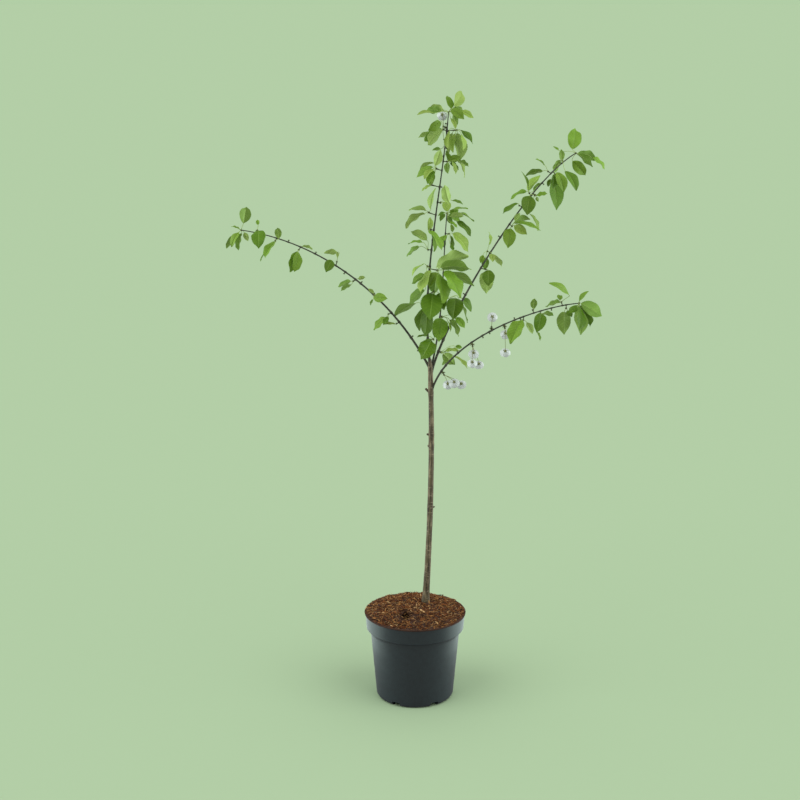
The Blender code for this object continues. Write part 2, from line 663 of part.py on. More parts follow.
def stalk_points(hub, leaf):
    """From inside the spur's knob, past the blade's root and on along its midrib."""
    return [hub, leaf.base, leaf_point(leaf, 0.13, 0.0, 0.0)]


def wand(start, end, radius):
    """A slim three-sided bar, used to test whether a stalk has room."""
    shape = bmesh.new()
    way = end - start
    place = Matrix.Translation((start + end) / 2) @ way.to_track_quat("Z", "Y").to_matrix().to_4x4()
    bmesh.ops.create_cone(shape, cap_ends=True, segments=3, radius1=radius, radius2=radius,
                          depth=way.length, matrix=place)
    return shape


def tree_of(shape):
    tree = BVHTree.FromBMesh(shape)
    shape.free()
    return tree


def tree_of_object(item):
    shape = bmesh.new()
    shape.from_mesh(item.data)
    shape.transform(item.matrix_world)
    return tree_of(shape)


def tree_of_room(points, radii):
    """A limb with a margin round it, as a chain of tapered bars."""
    shape = bmesh.new()
    for here, there, low, high in zip(points, points[1:], radii, radii[1:]):
        way = there - here
        place = Matrix.Translation((here + there) / 2) @ way.to_track_quat("Z", "Y").to_matrix().to_4x4()
        bmesh.ops.create_cone(shape, cap_ends=True, segments=8, radius1=low, radius2=high,
                              depth=way.length, matrix=place)
    return tree_of(shape)


def hits(tree, others):
    return any(tree.overlap(other) for other in others)


class Crown:
    """Keeps what already stands in the crown, so that nothing new is grown into it."""

    def __init__(self, section, group, parts):
        self.solid = []
        self.own = []
        self.section = section
        self.group = group
        self.parts = parts
        self.number = 0

    def stand(self, tree):
        self.solid.append(tree)

    def grow_leaf(self, hub, row, toward):
        """Draws poses by the seeded rule until one has room, and fuses that leaf's solids."""
        self.number += 1
        rng = random.Random(SEED * 1000 + self.number)
        for attempt in range(TRIES):
            leaf = leaf_pose(hub, row, toward, rng, 0.4 * attempt)
            room = tree_of(blade(leaf, SPARE_THICKNESS, SPARE_WIDTH))
            start = hub.lerp(leaf.base, 0.45)
            stalk = tree_of(wand(start, leaf.base, STALK_ROOT_RADIUS + 2 * CLEAR))
            others = self.solid + self.own
            if hits(room, others) or hits(stalk, others):
                continue
            self.own.append(room)
            self.own.append(stalk)
            object_from_bmesh("blade", blade(leaf, LEAF_THICKNESS), self.parts)
            radii = (STALK_ROOT_RADIUS, STALK_TIP_RADIUS, STALK_TIP_RADIUS * 0.7)
            tube("stalk", stalk_points(hub, leaf), radii, self.parts, section=self.section)
            return

    def close_mass(self, stem):
        """Ends one mass: its leaves join its stem, and then count as standing."""
        fuse(stem, self.parts)
        self.solid += self.own
        self.own = []
        return stem


def knob(place, radius, group):
    """The small swelling that a spur's leaves spring from."""
    shape = bmesh.new()
    bmesh.ops.create_uvsphere(shape, u_segments=5, v_segments=3, radius=radius,
                              matrix=Matrix.Translation(place))
    return object_from_bmesh("knob", shape, group)


def spur_points(line, along, heading, length, toward):
    """A spur stands square on its limb, 0.3 mm clear, and then turns to its own heading."""
    point, way, radius = line.at(along)
    reach = seen_way(heading) * length + TOWARD * toward
    square = (reach - way * reach.dot(way)).normalized()
    foot = point + square * (radius + CLEAR)
    knee = foot + square * KNEE
    return [foot, knee, knee + reach * MM]


def make_stem(name, points, group):
    return tube(name, points, (STEM_RADIUS, STEM_RADIUS * 0.95, STEM_RADIUS * 0.8), group, resolution=0)


def lobed_bowl(heart, axis, spin, radius, depth):
    """Five joined petals: a shallow bowl whose rim is drawn in between them."""
    shape = bmesh.new()
    place = Matrix.Translation(heart + axis * (depth / 2)) @ axis.to_track_quat("Z", "Y").to_matrix().to_4x4()
    place = place @ Matrix.Rotation(spin, 4, "Z")
    bmesh.ops.create_cone(shape, cap_ends=True, cap_tris=True, segments=2 * PETALS,
                          radius1=CALYX_RADIUS, radius2=radius, depth=depth)
    for vert in shape.verts:
        if vert.co.z > 0.0 and vert.co.xy.length < 0.01 * MM:
            vert.co.z = PETAL_THICKNESS - depth / 2
        elif vert.co.z > 0.0:
            turn = math.atan2(vert.co.y, vert.co.x) * PETALS
            if math.cos(turn) < 0.0:
                vert.co.xy *= NOTCH
    shape.transform(place)
    return shape


def grow_flower(crown, hub, heading, stalk_length, number):
    """A flower nods away from the viewer, with a seeded lean."""
    rng = random.Random(SEED * 7000 + number)
    seen = seen_way(heading)
    depth = TOWARD * (0.30 * (number % 3 - 1) + rng.uniform(-0.1, 0.1))
    heart = hub + (seen + depth) * (stalk_length * MM)
    axis = (seen * 0.15 + Vector((0.0, 0.0, -0.5)) - TOWARD * rng.uniform(0.75, 1.15)).normalized()
    neck = heart - axis * CALYX_LENGTH
    tube("flower_stalk", (hub, neck, heart + axis * (0.5 * MM)), (0.7 * MM, 0.6 * MM, CALYX_RADIUS),
         crown.parts, section=crown.section)
    spin = rng.uniform(0.0, math.tau)
    radius = PETAL_LENGTH * rng.uniform(0.94, 1.04)
    depth = radius * rng.uniform(0.35, 0.6)
    object_from_bmesh("petals", lobed_bowl(heart, axis, spin, radius, depth), crown.parts)
    crown.own.append(tree_of(lobed_bowl(heart, axis, spin, radius + MM, depth + MM)))
    crown.own.append(tree_of(wand(hub.lerp(neck, 0.3), neck, 1.2 * MM)))


def main():
    remove_old_objects()
    group = new_collection(OBJECT_NAME)
    cutters = new_collection("cutters")
    trunk_cutters = new_collection("trunk_cutters")
    guides = new_collection("guides")
    parts = new_collection("parts_to_fuse")

    plastic = plain_material("pot_plastic", (0.035, 0.045, 0.050), 0.45)
    soil = plain_material("bark_mulch", (0.160, 0.070, 0.030), 0.95)
    bark = plain_material("trunk_bark", (0.075, 0.062, 0.050), 0.80)
    young_bark = plain_material("bough_bark", (0.060, 0.055, 0.032), 0.70)
    green = plain_material("leaf_green", (0.130, 0.270, 0.030), 0.55)
    white = plain_material("petal_white", (0.800, 0.820, 0.800), 0.60)

    frame = bpy.data.objects.new("tree_frame", None)
    group.objects.link(frame)

    section = three_sided_section(guides)
    trunk = trunk_line()
    swollen = [radius + CLEAR for radius in trunk.radii]
    lengthened = list(trunk.points)
    lengthened[-1] = lengthened[-1] + Vector((0.0, 0.0, CLEAR))
    as_cutter(tube("trunk_room", lengthened, swollen, trunk_cutters, resolution=4))
    trunk_object = make_trunk(trunk, group, parts)
    set_origin(trunk_object, trunk.points[0].copy())
    finish_object(trunk_object, bark, frame)

    crown = Crown(section, group, parts)
    crown.stand(tree_of_object(trunk_object))
    lines = {}
    for name, plan in LIMBS.items():
        lines[name] = limb_line(plan)
        limb = make_limb(name, lines[name], plan, group, trunk_cutters)
        crown.stand(tree_of_room(lines[name].points, [radius + 1.0 * MM for radius in lines[name].radii]))
        set_origin(limb, lines[name].points[0].copy())
        finish_object(limb, young_bark, frame)

    masses = []
    for plan in SPURS:
        points = spur_points(lines[plan.limb], plan.along, plan.heading, plan.stem, plan.toward)
        masses.append((f"foliage_{plan.name}", points, plan.toward, plan.leaves, ()))
    for name, limb, along, heading, length, toward, flowers in BLOSSOMS:
        masses.append((name, spur_points(lines[limb], along, heading, length, toward), toward, (), flowers))
    for _, points, *_ in masses:
        crown.stand(tree_of(wand(points[1], points[2], STEM_RADIUS + CLEAR)))
    flower_number = 0
    for name, points, toward, leaves, flowers in masses:
        stem = make_stem(name, points, group)
        knob(points[2], HUB_RADIUS, parts)
        for row in leaves:
            crown.grow_leaf(points[2], row, toward)
        for heading, stalk_length in flowers:
            flower_number += 1
            grow_flower(crown, points[2], heading, stalk_length, flower_number)
        crown.close_mass(stem)
        set_origin(stem, points[0].copy())
        finish_object(stem, white if flowers else green, frame)
    for limb, leaves in TIPS:
        line = lines[limb]
        way = (line.points[LIMB_PIECES + 1] - line.points[LIMB_PIECES]).normalized()
        points = [line.points[LIMB_PIECES] + way * CLEAR] + line.points[LIMB_PIECES + 1:]
        stem = tube(f"foliage_tip_{limb}", points, line.radii[LIMB_PIECES:], group, resolution=1)
        knob(points[-1], HUB_RADIUS, parts)
        for row in leaves:
            crown.grow_leaf(points[-1], row, 0)
        crown.close_mass(stem)
        set_origin(stem, points[0].copy())
        finish_object(stem, green, frame)
    finish_object(make_pot(group, cutters), plastic, frame)
    finish_object(make_mulch(group), soil, frame)


main()
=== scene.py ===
"""The looks of a young sour cherry tree in its nursery pot: leaves, bark, blossom, mulch and plastic."""
import math
import random
from collections import namedtuple

import bmesh
import bpy
from mathutils import Matrix, Vector, noise
from mathutils.bvhtree import BVHTree


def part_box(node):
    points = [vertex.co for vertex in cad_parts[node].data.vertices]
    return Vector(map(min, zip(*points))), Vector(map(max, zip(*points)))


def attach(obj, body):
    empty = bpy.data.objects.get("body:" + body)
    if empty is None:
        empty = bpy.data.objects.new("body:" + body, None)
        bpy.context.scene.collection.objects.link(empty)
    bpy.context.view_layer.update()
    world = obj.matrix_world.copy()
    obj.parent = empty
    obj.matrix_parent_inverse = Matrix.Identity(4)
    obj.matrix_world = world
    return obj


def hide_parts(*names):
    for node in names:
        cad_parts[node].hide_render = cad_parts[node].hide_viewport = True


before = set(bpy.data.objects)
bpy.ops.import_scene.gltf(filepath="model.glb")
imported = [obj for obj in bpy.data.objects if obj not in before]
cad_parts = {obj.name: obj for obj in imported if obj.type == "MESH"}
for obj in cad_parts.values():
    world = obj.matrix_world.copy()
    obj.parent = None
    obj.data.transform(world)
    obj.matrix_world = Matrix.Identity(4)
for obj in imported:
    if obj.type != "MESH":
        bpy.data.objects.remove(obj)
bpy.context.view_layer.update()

MM = 0.001
CLEAR = 0.3 * MM

# The camera, at the photograph's viewing angle
LENS = 70.0
EYE = Vector((-0.038, -3.67, 1.706))
LOOK_DOWN_CAMERA = math.radians(14.3)

# The pot and the mulch, as the frame has them
POT_LOW, POT_HIGH = (Vector(corner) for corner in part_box("pot"))
POT_HEIGHT = POT_HIGH.z
RIM_RADIUS = POT_HIGH.x
BAND_FOOT_RADIUS = RIM_RADIUS - 0.0030
BAND_FOOT_HEIGHT = POT_HEIGHT - 0.037
NECK_RADIUS = 0.1122
NECK_HEIGHT = 0.176
FOOT_RADIUS = 0.0975
FOOT_ROUND = 0.010
WALL = 0.002
CHANNELS = 6
CHANNEL_WIDTH = 0.022
CHANNEL_HEIGHT = 0.011
CHANNEL_INNER_RADIUS = 0.045
MULCH_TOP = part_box("mulch")[1][2]
MULCH_RADIUS = 0.1262
MULCH_LEVEL_RADIUS = 0.062
MULCH_FALL = 1.3

# The trunk
TRUNK_FOOT = Vector((0.027, 0.035, MULCH_TOP + CLEAR))
TRUNK_HANDLES = (Vector((0.039, 0.035, 0.443)), Vector((0.044, 0.035, 0.654)))
TRUNK_FORK = Vector((0.035, 0.035, 0.864))
TRUNK_LOW_RADIUS = 8.0 * MM
TRUNK_FORK_RADIUS = 6.3 * MM
TRUNK_FLARE = 3.0 * MM
TRUNK_FLARE_LENGTH = 0.035
KNOTS = (
    (0.778, 140, 17, 4.0, 2.6),
    (0.674, 185, 11, 5.0, 2.4),
    (0.646, 200, 9, 4.5, 2.6),
    (0.484, 5, 11, 3.2, 1.6),
)

# The leaf and the petal
LEAF_BREADTH = 0.56
LEAF_RINGS = 4
SMALL_LEAF_RINGS = 3
SMALL_LEAF = 0.040
STALK_ROOT_RADIUS = 0.9 * MM
STALK_RISE = 35.0
STEM_RADIUS = 1.2 * MM
KNEE = 2.2 * MM
PETAL_LENGTH = 13.0 * MM
PETALS = 5
CALYX_LENGTH = 5.0 * MM
CALYX_RADIUS = 2.2 * MM

# The seeded rule that leans and turns each leaf in depth
SEED = 41
TRIES = 60
NEARER = 0.02
LEAN = (8.0, 30.0)
STALK_LEAN = (15.0, 55.0)
MOST_LEAN = 58.0
FOLD = (8.0, 24.0)
BEND = (12.0, 48.0)
SPARE_WIDTH = 1.06
SPARE_THICKNESS = 2.2 * MM

# The picture plane: the tree is described as it is seen from a little above its front
LOOK_DOWN = math.radians(14.0)
ACROSS = Vector((1.0, 0.0, 0.0))
UPWARD = Vector((0.0, math.sin(LOOK_DOWN), math.cos(LOOK_DOWN)))
TOWARD = Vector((0.0, -math.cos(LOOK_DOWN), math.sin(LOOK_DOWN)))

LimbPlan = namedtuple("LimbPlan", "handles foot_radius tip_radius bare_to")
LIMBS = {
    "bough_left": LimbPlan(
        ((0.038, 0.035, 0.835), (-0.061, 0.045, 1.032), (-0.241, 0.075, 1.149), (-0.425, 0.105, 1.171)),
        3.2, 1.2, 0.93),
    "bough_upper_right": LimbPlan(
        ((0.038, 0.036, 0.828), (0.077, 0.062, 0.975), (0.277, 0.175, 1.283), (0.401, 0.245, 1.344)),
        3.3, 1.3, 0.95),
    "bough_lower_right": LimbPlan(
        ((0.039, 0.035, 0.782), (0.076, 0.012, 0.928), (0.298, -0.115, 1.027), (0.372, -0.165, 1.041)),
        2.7, 1.2, 0.95),
    "leader": LimbPlan(
        ((0.035, 0.035, 0.854), (0.010, 0.035, 1.061), (0.061, 0.035, 1.261), (0.076, 0.035, 1.459)),
        3.2, 1.2, 0.95),
    "second_shoot": LimbPlan(
        ((0.037, 0.035, 0.840), (0.071, 0.092, 0.954), (0.065, 0.081, 1.091), (0.076, 0.101, 1.213)),
        2.5, 1.2, 0.95),
}
LIMB_PIECES = 12
TIP_PIECES = 2

# Each spur: name, limb, place along the limb, its stem's heading and length as seen, how far the
# stem's end comes towards the viewer, then its leaves and their tones.
# A leaf is its heading, blade length, blade width and stalk length, and its stalk's own heading where
# that isn't the usual one. Headings are in degrees in the picture plane, with 0 to the right and
# 90 up. Lengths are as seen, in mm. The tones are one letter a leaf: d dark, m middling, l light
# and y yellow-green.
# The tones are partly each leaf's own colour and partly painted light and shade: darker tones stand partly for leaves
# in shade, lighter ones partly for leaves in the light.
SpurPlan = namedtuple("SpurPlan", "name limb along heading stem toward leaves tones")
SPURS = (
    SpurPlan("left_1", "bough_left", 0.24, 200, 3, 0, ((184, 25, 7, 3, 205),), "l"),
    SpurPlan("left_2", "bough_left", 0.29, 190, 3, 0, ((226, 44, 17, 9, 236), (244, 24, 13, 6, 265)), "md"),
    SpurPlan("left_3", "bough_left", 0.39, 60, 1, 5,
             ((-8, 34, 23, 8, 262), (143, 17, 8, 2, 120), (247, 16, 6, 14, 260)), "mld"),
    SpurPlan("left_4", "bough_left", 0.487, 190, 3, 0,
             ((205, 34, 11, 5, 190), (212, 30, 9, 9, 240), (10, 18, 9, 14, 31)), "mml"),
    SpurPlan("left_5", "bough_left", 0.605, 90, 2, 6, ((243, 34, 24, 3, 60),), "d"),
    SpurPlan("left_6", "bough_left", 0.585, 80, 6, 0, ((182, 34, 12, 25, 87), (100, 14, 7, 10, 80)), "ll"),
    SpurPlan("left_7", "bough_left", 0.746, 230, 4, 0,
             ((250, 54, 25, 5, 235), (257, 50, 22, 6, 265), (-17, 26, 6, 12, 50)), "mml"),
    SpurPlan("left_8", "bough_left", 0.85, 230, 3, 0,
             ((240, 50, 20, 3, -60), (229, 49, 9, 14, 240), (95, 25, 17, 10, 22)), "mdm"),
    SpurPlan("left_9", "bough_left", 0.93, 100, 4, 6, ((-84, 48, 35, 4, -10), (100, 14, 9, 14, 85)), "dm"),
    SpurPlan("leader_1", "leader", 0.1, 0, 10, 18, ((243, 55, 42, 5), (185, 30, 5, 12)), "dd"),
    SpurPlan("leader_2", "leader", 0.245, 215, 5, 6,
             ((266, 66, 31, 14, -70), (212, 61, 18, 23, 170)), "dm"),
    SpurPlan("leader_3", "leader", 0.285, 20, 12, 22, ((266, 68, 53, 6), (-72, 44, 28, 12, -20)), "dd"),
    SpurPlan("leader_4", "leader", 0.335, 195, 5, 4, ((223, 52, 21, 21, 266),), "m"),
    SpurPlan("leader_5", "leader", 0.385, -15, 16, 12,
             ((20, 84, 30, 10, 105), (-4, 72, 24, 9, 40), (-25, 76, 20, 21, -8), (-64, 76, 34, 18, -5),
              (-86, 74, 32, 8, -72), (245, 41, 22, 6, 225)), "lmmmmm"),
    SpurPlan("leader_6", "leader", 0.395, 190, 4, 8,
             ((246, 62, 21, 13, -56), (227, 40, 7, 11, 153), (219, 39, 14, 22, 250)), "ylm"),
    SpurPlan("leader_7", "leader", 0.46, 180, 4, 0,
             ((151, 45, 18, 22, 97), (184, 34, 8, 23, 126), (220, 39, 9, 22, 164)), "lmm"),
    SpurPlan("leader_8", "leader", 0.54, 180, 5, 6, ((-58, 58, 17, 6, 200), (82, 33, 14, 6, 180)), "ml"),
    SpurPlan("leader_9", "leader", 0.6, 160, 14, 0,
             ((183, 42, 7, 7, 149), (218, 56, 13, 9, 188), (77, 50, 12, 8, 51)), "lll"),
    SpurPlan("leader_10", "leader", 0.65, -10, 4, 4, ((106, 42, 23, 20, -12), (-18, 28, 5, 30, 18)), "lm"),
    SpurPlan("leader_11", "leader", 0.71, 165, 15, 0, ((209, 25, 8, 3, 200),), "l"),
    SpurPlan("leader_12", "leader", 0.775, 160, 10, 0,
             ((72, 38, 21, 7, 118), (209, 46, 19, 9, 150), (203, 37, 6, 18, 106), (231, 35, 14, 7, 190),
              (246, 36, 17, 8, 231), (250, 30, 14, 12, 250)), "lmllmm"),
    SpurPlan("leader_13", "leader", 0.81, 0, 5, 0,
             ((-88, 26, 14, 2, -40), (-77, 31, 10, 13, -5), (-76, 37, 4, 31, -11), (-22, 32, 7, 23, 9),
              (20, 31, 18, 4, 40), (98, 25, 12, 5, 60), (-35, 26, 13, 8, -10)), "mylmmmd"),
    SpurPlan("leader_14", "leader", 0.93, 170, 6, 4,
             ((217, 37, 20, 17, 115), (229, 52, 24, 3, 230), (196, 35, 9, 25, 186), (214, 27, 8, 24, 201),
              (201, 34, 20, 6, 143), (187, 21, 7, 39, 264), (222, 40, 18, 14, 200)), "mlllmmm"),
    SpurPlan("leader_15", "leader", 0.93, 3, 20, 0,
             ((-46, 44, 10, 8, 5), (-87, 60, 28, 7, -80), (261, 46, 17, 11, 204), (-84, 42, 12, 15, -52),
              (266, 47, 11, 19, 195), (264, 48, 14, 10, 245)), "mlllll"),
    SpurPlan("second_1", "second_shoot", 0.34, 0, 3, 15,
             ((265, 60, 39, 4), (-62, 46, 13, 20, -25), (-50, 34, 18, 34, -5),
              (-78, 28, 6, 18, -40)), "mmml"),
    SpurPlan("second_3", "second_shoot", 0.45, 5, 8, 8,
             ((-96, 56, 42, 22, 5), (-52, 40, 19, 40, 8), (-71, 60, 5, 34, 4)), "ddd"),
    SpurPlan("second_5", "second_shoot", 0.87, 0, 5, 0,
             ((-49, 59, 25, 9, 8), (-85, 30, 9, 6), (262, 30, 8, 8), (-60, 16, 9, 30, -85)), "lddd"),
    SpurPlan("fork_1", "bough_upper_right", 0.085, -30, 3, 5,
             ((3, 40, 9, 6, 10), (-42, 40, 26, 7, -30), (-45, 42, 9, 35, -18), (-8, 17, 10, 40, 23),
              (222, 20, 8, 26, -49)), "ymlmd"),
    SpurPlan("upper_1", "bough_upper_right", 0.427, -10, 8, 0,
             ((-91, 42, 31, 6, -20), (-91, 56, 36, 4, -30)), "dl"),
    SpurPlan("upper_2", "bough_upper_right", 0.492, 160, 4, 0,
             ((90, 32, 8, 18, 74), (265, 30, 19, 14, 260), (253, 21, 12, 16, 225), (-85, 22, 16, 13, -34),
              (-48, 38, 10, 15, -32)), "ldmyl"),
    SpurPlan("upper_4", "bough_upper_right", 0.62, -50, 4, 0,
             ((260, 52, 32, 7, 230), (-38, 38, 22, 6, 20), (-19, 66, 15, 12, 55), (17, 45, 14, 10, 60),
              (60, 22, 12, 14, 62)), "mlmdl"),
    SpurPlan("upper_5", "bough_upper_right", 0.7, 160, 4, 0, ((215, 46, 13, 6, 130),), "d"),
    SpurPlan("upper_6", "bough_upper_right", 0.756, 120, 4, 0,
             ((112, 50, 7, 6, 110), (51, 50, 18, 6, 110), (47, 28, 7, 10, 20),
              (207, 42, 12, 8, 140)), "dldm"),
    SpurPlan("upper_7", "bough_upper_right", 0.765, -60, 4, 6,
             ((258, 53, 36, 15, 193), (5, 28, 12, 3, -20), (-63, 46, 5, 43, -103),
              (-60, 12, 8, 6, -50)), "dmlm"),
    SpurPlan("upper_8", "bough_upper_right", 0.87, 150, 5, 0,
             ((194, 43, 11, 12, 165), (152, 26, 4, 17, 128)), "dm"),
    SpurPlan("upper_9", "bough_upper_right", 0.88, -65, 6, 4,
             ((-80, 74, 30, 13, 248), (-74, 54, 28, 7, 45), (262, 40, 18, 3, 180),
              (250, 20, 10, 14, 225)), "dmdd"),
    SpurPlan("upper_10", "bough_upper_right", 0.93, 100, 4, 8,
             ((97, 26, 13, 2, 180), (247, 36, 15, 4, 150), (-65, 57, 27, 31, -82)), "mmd"),
    SpurPlan("lower_1", "bough_lower_right", 0.69, 260, 4, 0,
             ((243, 64, 32, 3, 180), (-61, 31, 13, 10, -30)), "my"),
    SpurPlan("lower_2", "bough_lower_right", 0.75, 100, 4, 0, ((88, 24, 16, 2, 60),), "m"),
    SpurPlan("lower_3", "bough_lower_right", 0.79, 265, 4, 4,
             ((250, 47, 29, 3, 0), (-12, 28, 10, 5, 15), (-74, 23, 4, 44, -102)), "dmd"),
    SpurPlan("lower_4", "bough_lower_right", 0.91, 110, 5, 0,
             ((197, 38, 10, 3, 200), (92, 14, 13, 5, 110), (151, 54, 17, 23, 43)), "mmm"),
    SpurPlan("lower_5", "bough_lower_right", 0.93, 265, 4, 0,
             ((-89, 52, 33, 8, 250), (-60, 18, 14, 6, -60)), "md"),
)

# The end masses go on along their limb's own line: limb, then leaves, then tones
TIPS = (
    ("bough_left",
     ((75, 37, 29, 17, 69), (163, 22, 5, 2, 150), (231, 45, 11, 12, 219), (246, 41, 17, 7, 235),
      (258, 42, 11, 7, 270), (-71, 22, 13, 9, -36)), "mmmmdl"),
    ("leader",
     ((104, 35, 17, 11, 58), (68, 45, 24, 20, 47), (-27, 32, 16, 31, 8), (-44, 39, 22, 9, 42),
      (10, 28, 22, 10, 30), (-75, 30, 12, 12, -10), (-68, 29, 11, 16, -72), (170, 36, 14, 13, 145),
      (182, 37, 15, 17, 178), (190, 42, 12, 35, 194)), "mylmmmllml"),
    ("second_shoot",
     ((2, 39, 8, 14, 31), (-25, 45, 6, 27, 5), (0, 34, 12, 12, -53), (-47, 50, 17, 30, -35),
      (-41, 26, 8, 22, -77), (93, 30, 22, 4, 85), (-76, 20, 10, 26, -65), (200, 18, 9, 5), (240, 22, 11, 6),
      (-60, 22, 14, 6, -60), (10, 24, 14, 6, 20), (-28, 30, 16, 6, -30)), "mmldmlydddmm"),
    ("bough_upper_right",
     ((76, 57, 36, 14, 121), (-46, 48, 28, 20, 248), (-45, 49, 13, 6, -25), (-17, 51, 17, 4, -20),
      (-38, 44, 14, 42, -14), (141, 17, 7, 41, 159)), "mmdmmm"),
    ("bough_lower_right",
     ((-60, 56, 19, 5, -60), (-38, 54, 28, 4, 0), (-92, 56, 22, 10, 240), (-82, 60, 27, 12, 262),
      (48, 32, 9, 4, 95), (215, 30, 16, 7, 255)), "dmdmmd"),
)

# Blossom hangs in small bunches: name, limb, place along, the stem as for a spur,
# then each flower's heading and stalk length in mm
BLOSSOMS = (
    ("blossom_1", "bough_lower_right", 0.13, 290, 6, 0, ((-66, 24), (-36, 30), (-27, 48))),
    ("blossom_2", "bough_lower_right", 0.367, 275, 5, 0, ((-81, 16), (268, 38), (-69, 45))),
    ("blossom_3", "bough_lower_right", 0.5, 85, 5, 0, ((85, 24),)),
    ("blossom_4", "bough_lower_right", 0.575, 280, 5, 0, ((-90, 54), (-80, 12))),
    ("blossom_5", "leader", 0.94, 150, 5, 0, ((97, 28),)),
)

# A few more leaves for the thick middle, once every mass stands: the spur, then a leaf and its tone
FILLERS = (
    ("leader_5", (-97, 54, 26, 5, -90), "m"),
    ("leader_3", (-104, 60, 30, 5, -100), "d"),
    ("leader_2", (-106, 56, 24, 8, -95), "d"),
    ("second_1", (-112, 46, 22, 8, -100), "d"),
    ("second_5", (230, 30, 14, 8, 220), "m"),
    ("leader_8", (-88, 44, 14, 8, -70), "m"),
)

Leaf = namedtuple("Leaf", "base along face breadth_way length width fold bend")


def bezier(handles, share):
    rest = 1.0 - share
    first, second, third, fourth = handles
    return (first * rest ** 3 + second * (3 * rest * rest * share)
            + third * (3 * rest * share * share) + fourth * share ** 3)


class Line:
    """A limb's centre line, measured along its length from foot to tip."""

    def __init__(self, handles, radius_at, stations):
        handles = [Vector(handle) for handle in handles]
        self.fine = [bezier(handles, number / 200) for number in range(201)]
        self.reach = [0.0]
        for here, there in zip(self.fine, self.fine[1:]):
            self.reach.append(self.reach[-1] + (there - here).length)
        self.length = self.reach[-1]
        self.stations = stations
        self.radius_at = radius_at
        self.points = [self.smooth(station) for station in stations]
        self.radii = [radius_at(station) for station in stations]

    def smooth(self, along):
        """The point of the smooth line at a share of its length."""
        want = along * self.length
        number = next((k for k in range(200) if self.reach[k + 1] >= want), 199)
        share = (want - self.reach[number]) / (self.reach[number + 1] - self.reach[number])
        return self.fine[number].lerp(self.fine[number + 1], min(share, 1.0))

    def at(self, along):
        """The point, direction and radius at a place along the chain."""
        number = 0
        while number < len(self.stations) - 2 and self.stations[number + 1] < along:
            number += 1
        low, high = self.stations[number], self.stations[number + 1]
        share = (along - low) / (high - low)
        here, there = self.points[number], self.points[number + 1]
        radius = self.radii[number] + (self.radii[number + 1] - self.radii[number]) * share
        return here.lerp(there, share), (there - here).normalized(), radius


def trunk_radius(along):
    height = along * (TRUNK_FORK.z - TRUNK_FOOT.z)
    radius = TRUNK_LOW_RADIUS + (TRUNK_FORK_RADIUS - TRUNK_LOW_RADIUS) * along
    return radius + TRUNK_FLARE * math.exp(-height / TRUNK_FLARE_LENGTH)


def trunk_line():
    stations = [0.0, 0.010, 0.030, 0.065]
    stations += [0.065 + 0.90 * number / 12 for number in range(1, 13)]
    stations += [0.985, 1.0]
    line = Line((TRUNK_FOOT, *TRUNK_HANDLES, TRUNK_FORK), trunk_radius, stations)
    line.points[1].x = line.points[0].x
    line.points[1].y = line.points[0].y
    return line


def limb_line(plan):
    def radius_at(along):
        return (plan.foot_radius + (plan.tip_radius - plan.foot_radius) * along ** 0.7) * MM

    stations = [plan.bare_to * number / LIMB_PIECES for number in range(LIMB_PIECES)]
    rest = 1.0 - plan.bare_to
    stations += [plan.bare_to + rest * number / TIP_PIECES for number in range(TIP_PIECES + 1)]
    return Line(plan.handles, radius_at, stations)


def seen_way(heading):
    turn = math.radians(heading)
    return ACROSS * math.cos(turn) + UPWARD * math.sin(turn)


def stalk_heading(heading):
    """A stalk rises: it leaves the spur nearer to upright than its blade hangs."""
    turn = (heading - 90.0 + 180.0) % 360.0 - 180.0
    eased = math.copysign(max(abs(turn) - STALK_RISE, 0.0), turn)
    return 90.0 + eased


def leaf_pose(hub, row, toward, rng, spread):
    """Leans and turns one leaf in depth, so that it looks as its row says from the front."""
    heading, seen_length, seen_width, seen_stalk, *own_way = row
    near = 1.0 if rng.random() < 0.5 + NEARER * toward else -1.0
    turn_way = rng.choice((-1.0, 1.0))
    lean = math.radians(rng.uniform(*LEAN))
    stalk_lean = math.radians(rng.uniform(*STALK_LEAN))
    fold = math.radians(rng.uniform(*FOLD))
    bend = math.radians(rng.uniform(*BEND))
    heading += rng.uniform(-spread, spread)
    length = seen_length / math.cos(lean)
    if seen_width > LEAF_BREADTH * length:
        length = seen_width / LEAF_BREADTH
        lean = min(math.acos(min(seen_length / length, 1.0)), math.radians(MOST_LEAN))
    width = LEAF_BREADTH * length
    turn = math.acos(min(seen_width / width, 1.0)) * turn_way
    seen = seen_way(heading)
    along = seen * math.cos(lean) + TOWARD * (math.sin(lean) * near)
    face = TOWARD * math.cos(lean) - seen * (math.sin(lean) * near)
    face = Matrix.Rotation(turn, 3, along) @ face
    if face.z < 0.0:
        face = -face
    stalk_way = seen_way(own_way[0] if own_way else stalk_heading(heading)) * math.cos(stalk_lean)
    stalk_way += TOWARD * (math.sin(stalk_lean) * near)
    base = hub + stalk_way * (seen_stalk * MM / math.cos(stalk_lean))
    return Leaf(base, along, face, along.cross(face), length * MM, width * MM, fold, bend)


def leaf_point(leaf, share, across, above):
    """A point of the blade, from its share of the length and its offsets across and above."""
    turn = leaf.bend * (0.5 - share)
    chord = 2.0 * math.sin(leaf.bend / 2)
    forward = (math.sin(leaf.bend / 2) - math.sin(turn)) / chord
    rise = (math.cos(turn) - math.cos(leaf.bend / 2)) / chord
    middle = leaf.base + leaf.along * (leaf.length * forward) + leaf.face * (leaf.length * rise)
    normal = leaf.face * math.cos(turn) - leaf.along * math.sin(turn)
    lift = above + abs(across) * math.tan(leaf.fold)
    return middle + leaf.breadth_way * across + normal * lift


def leaf_half_width(share):
    """The half-width of the blade as a share of its greatest: broadest just below the middle."""
    return math.sin(math.pi * share ** 0.88) ** 0.72


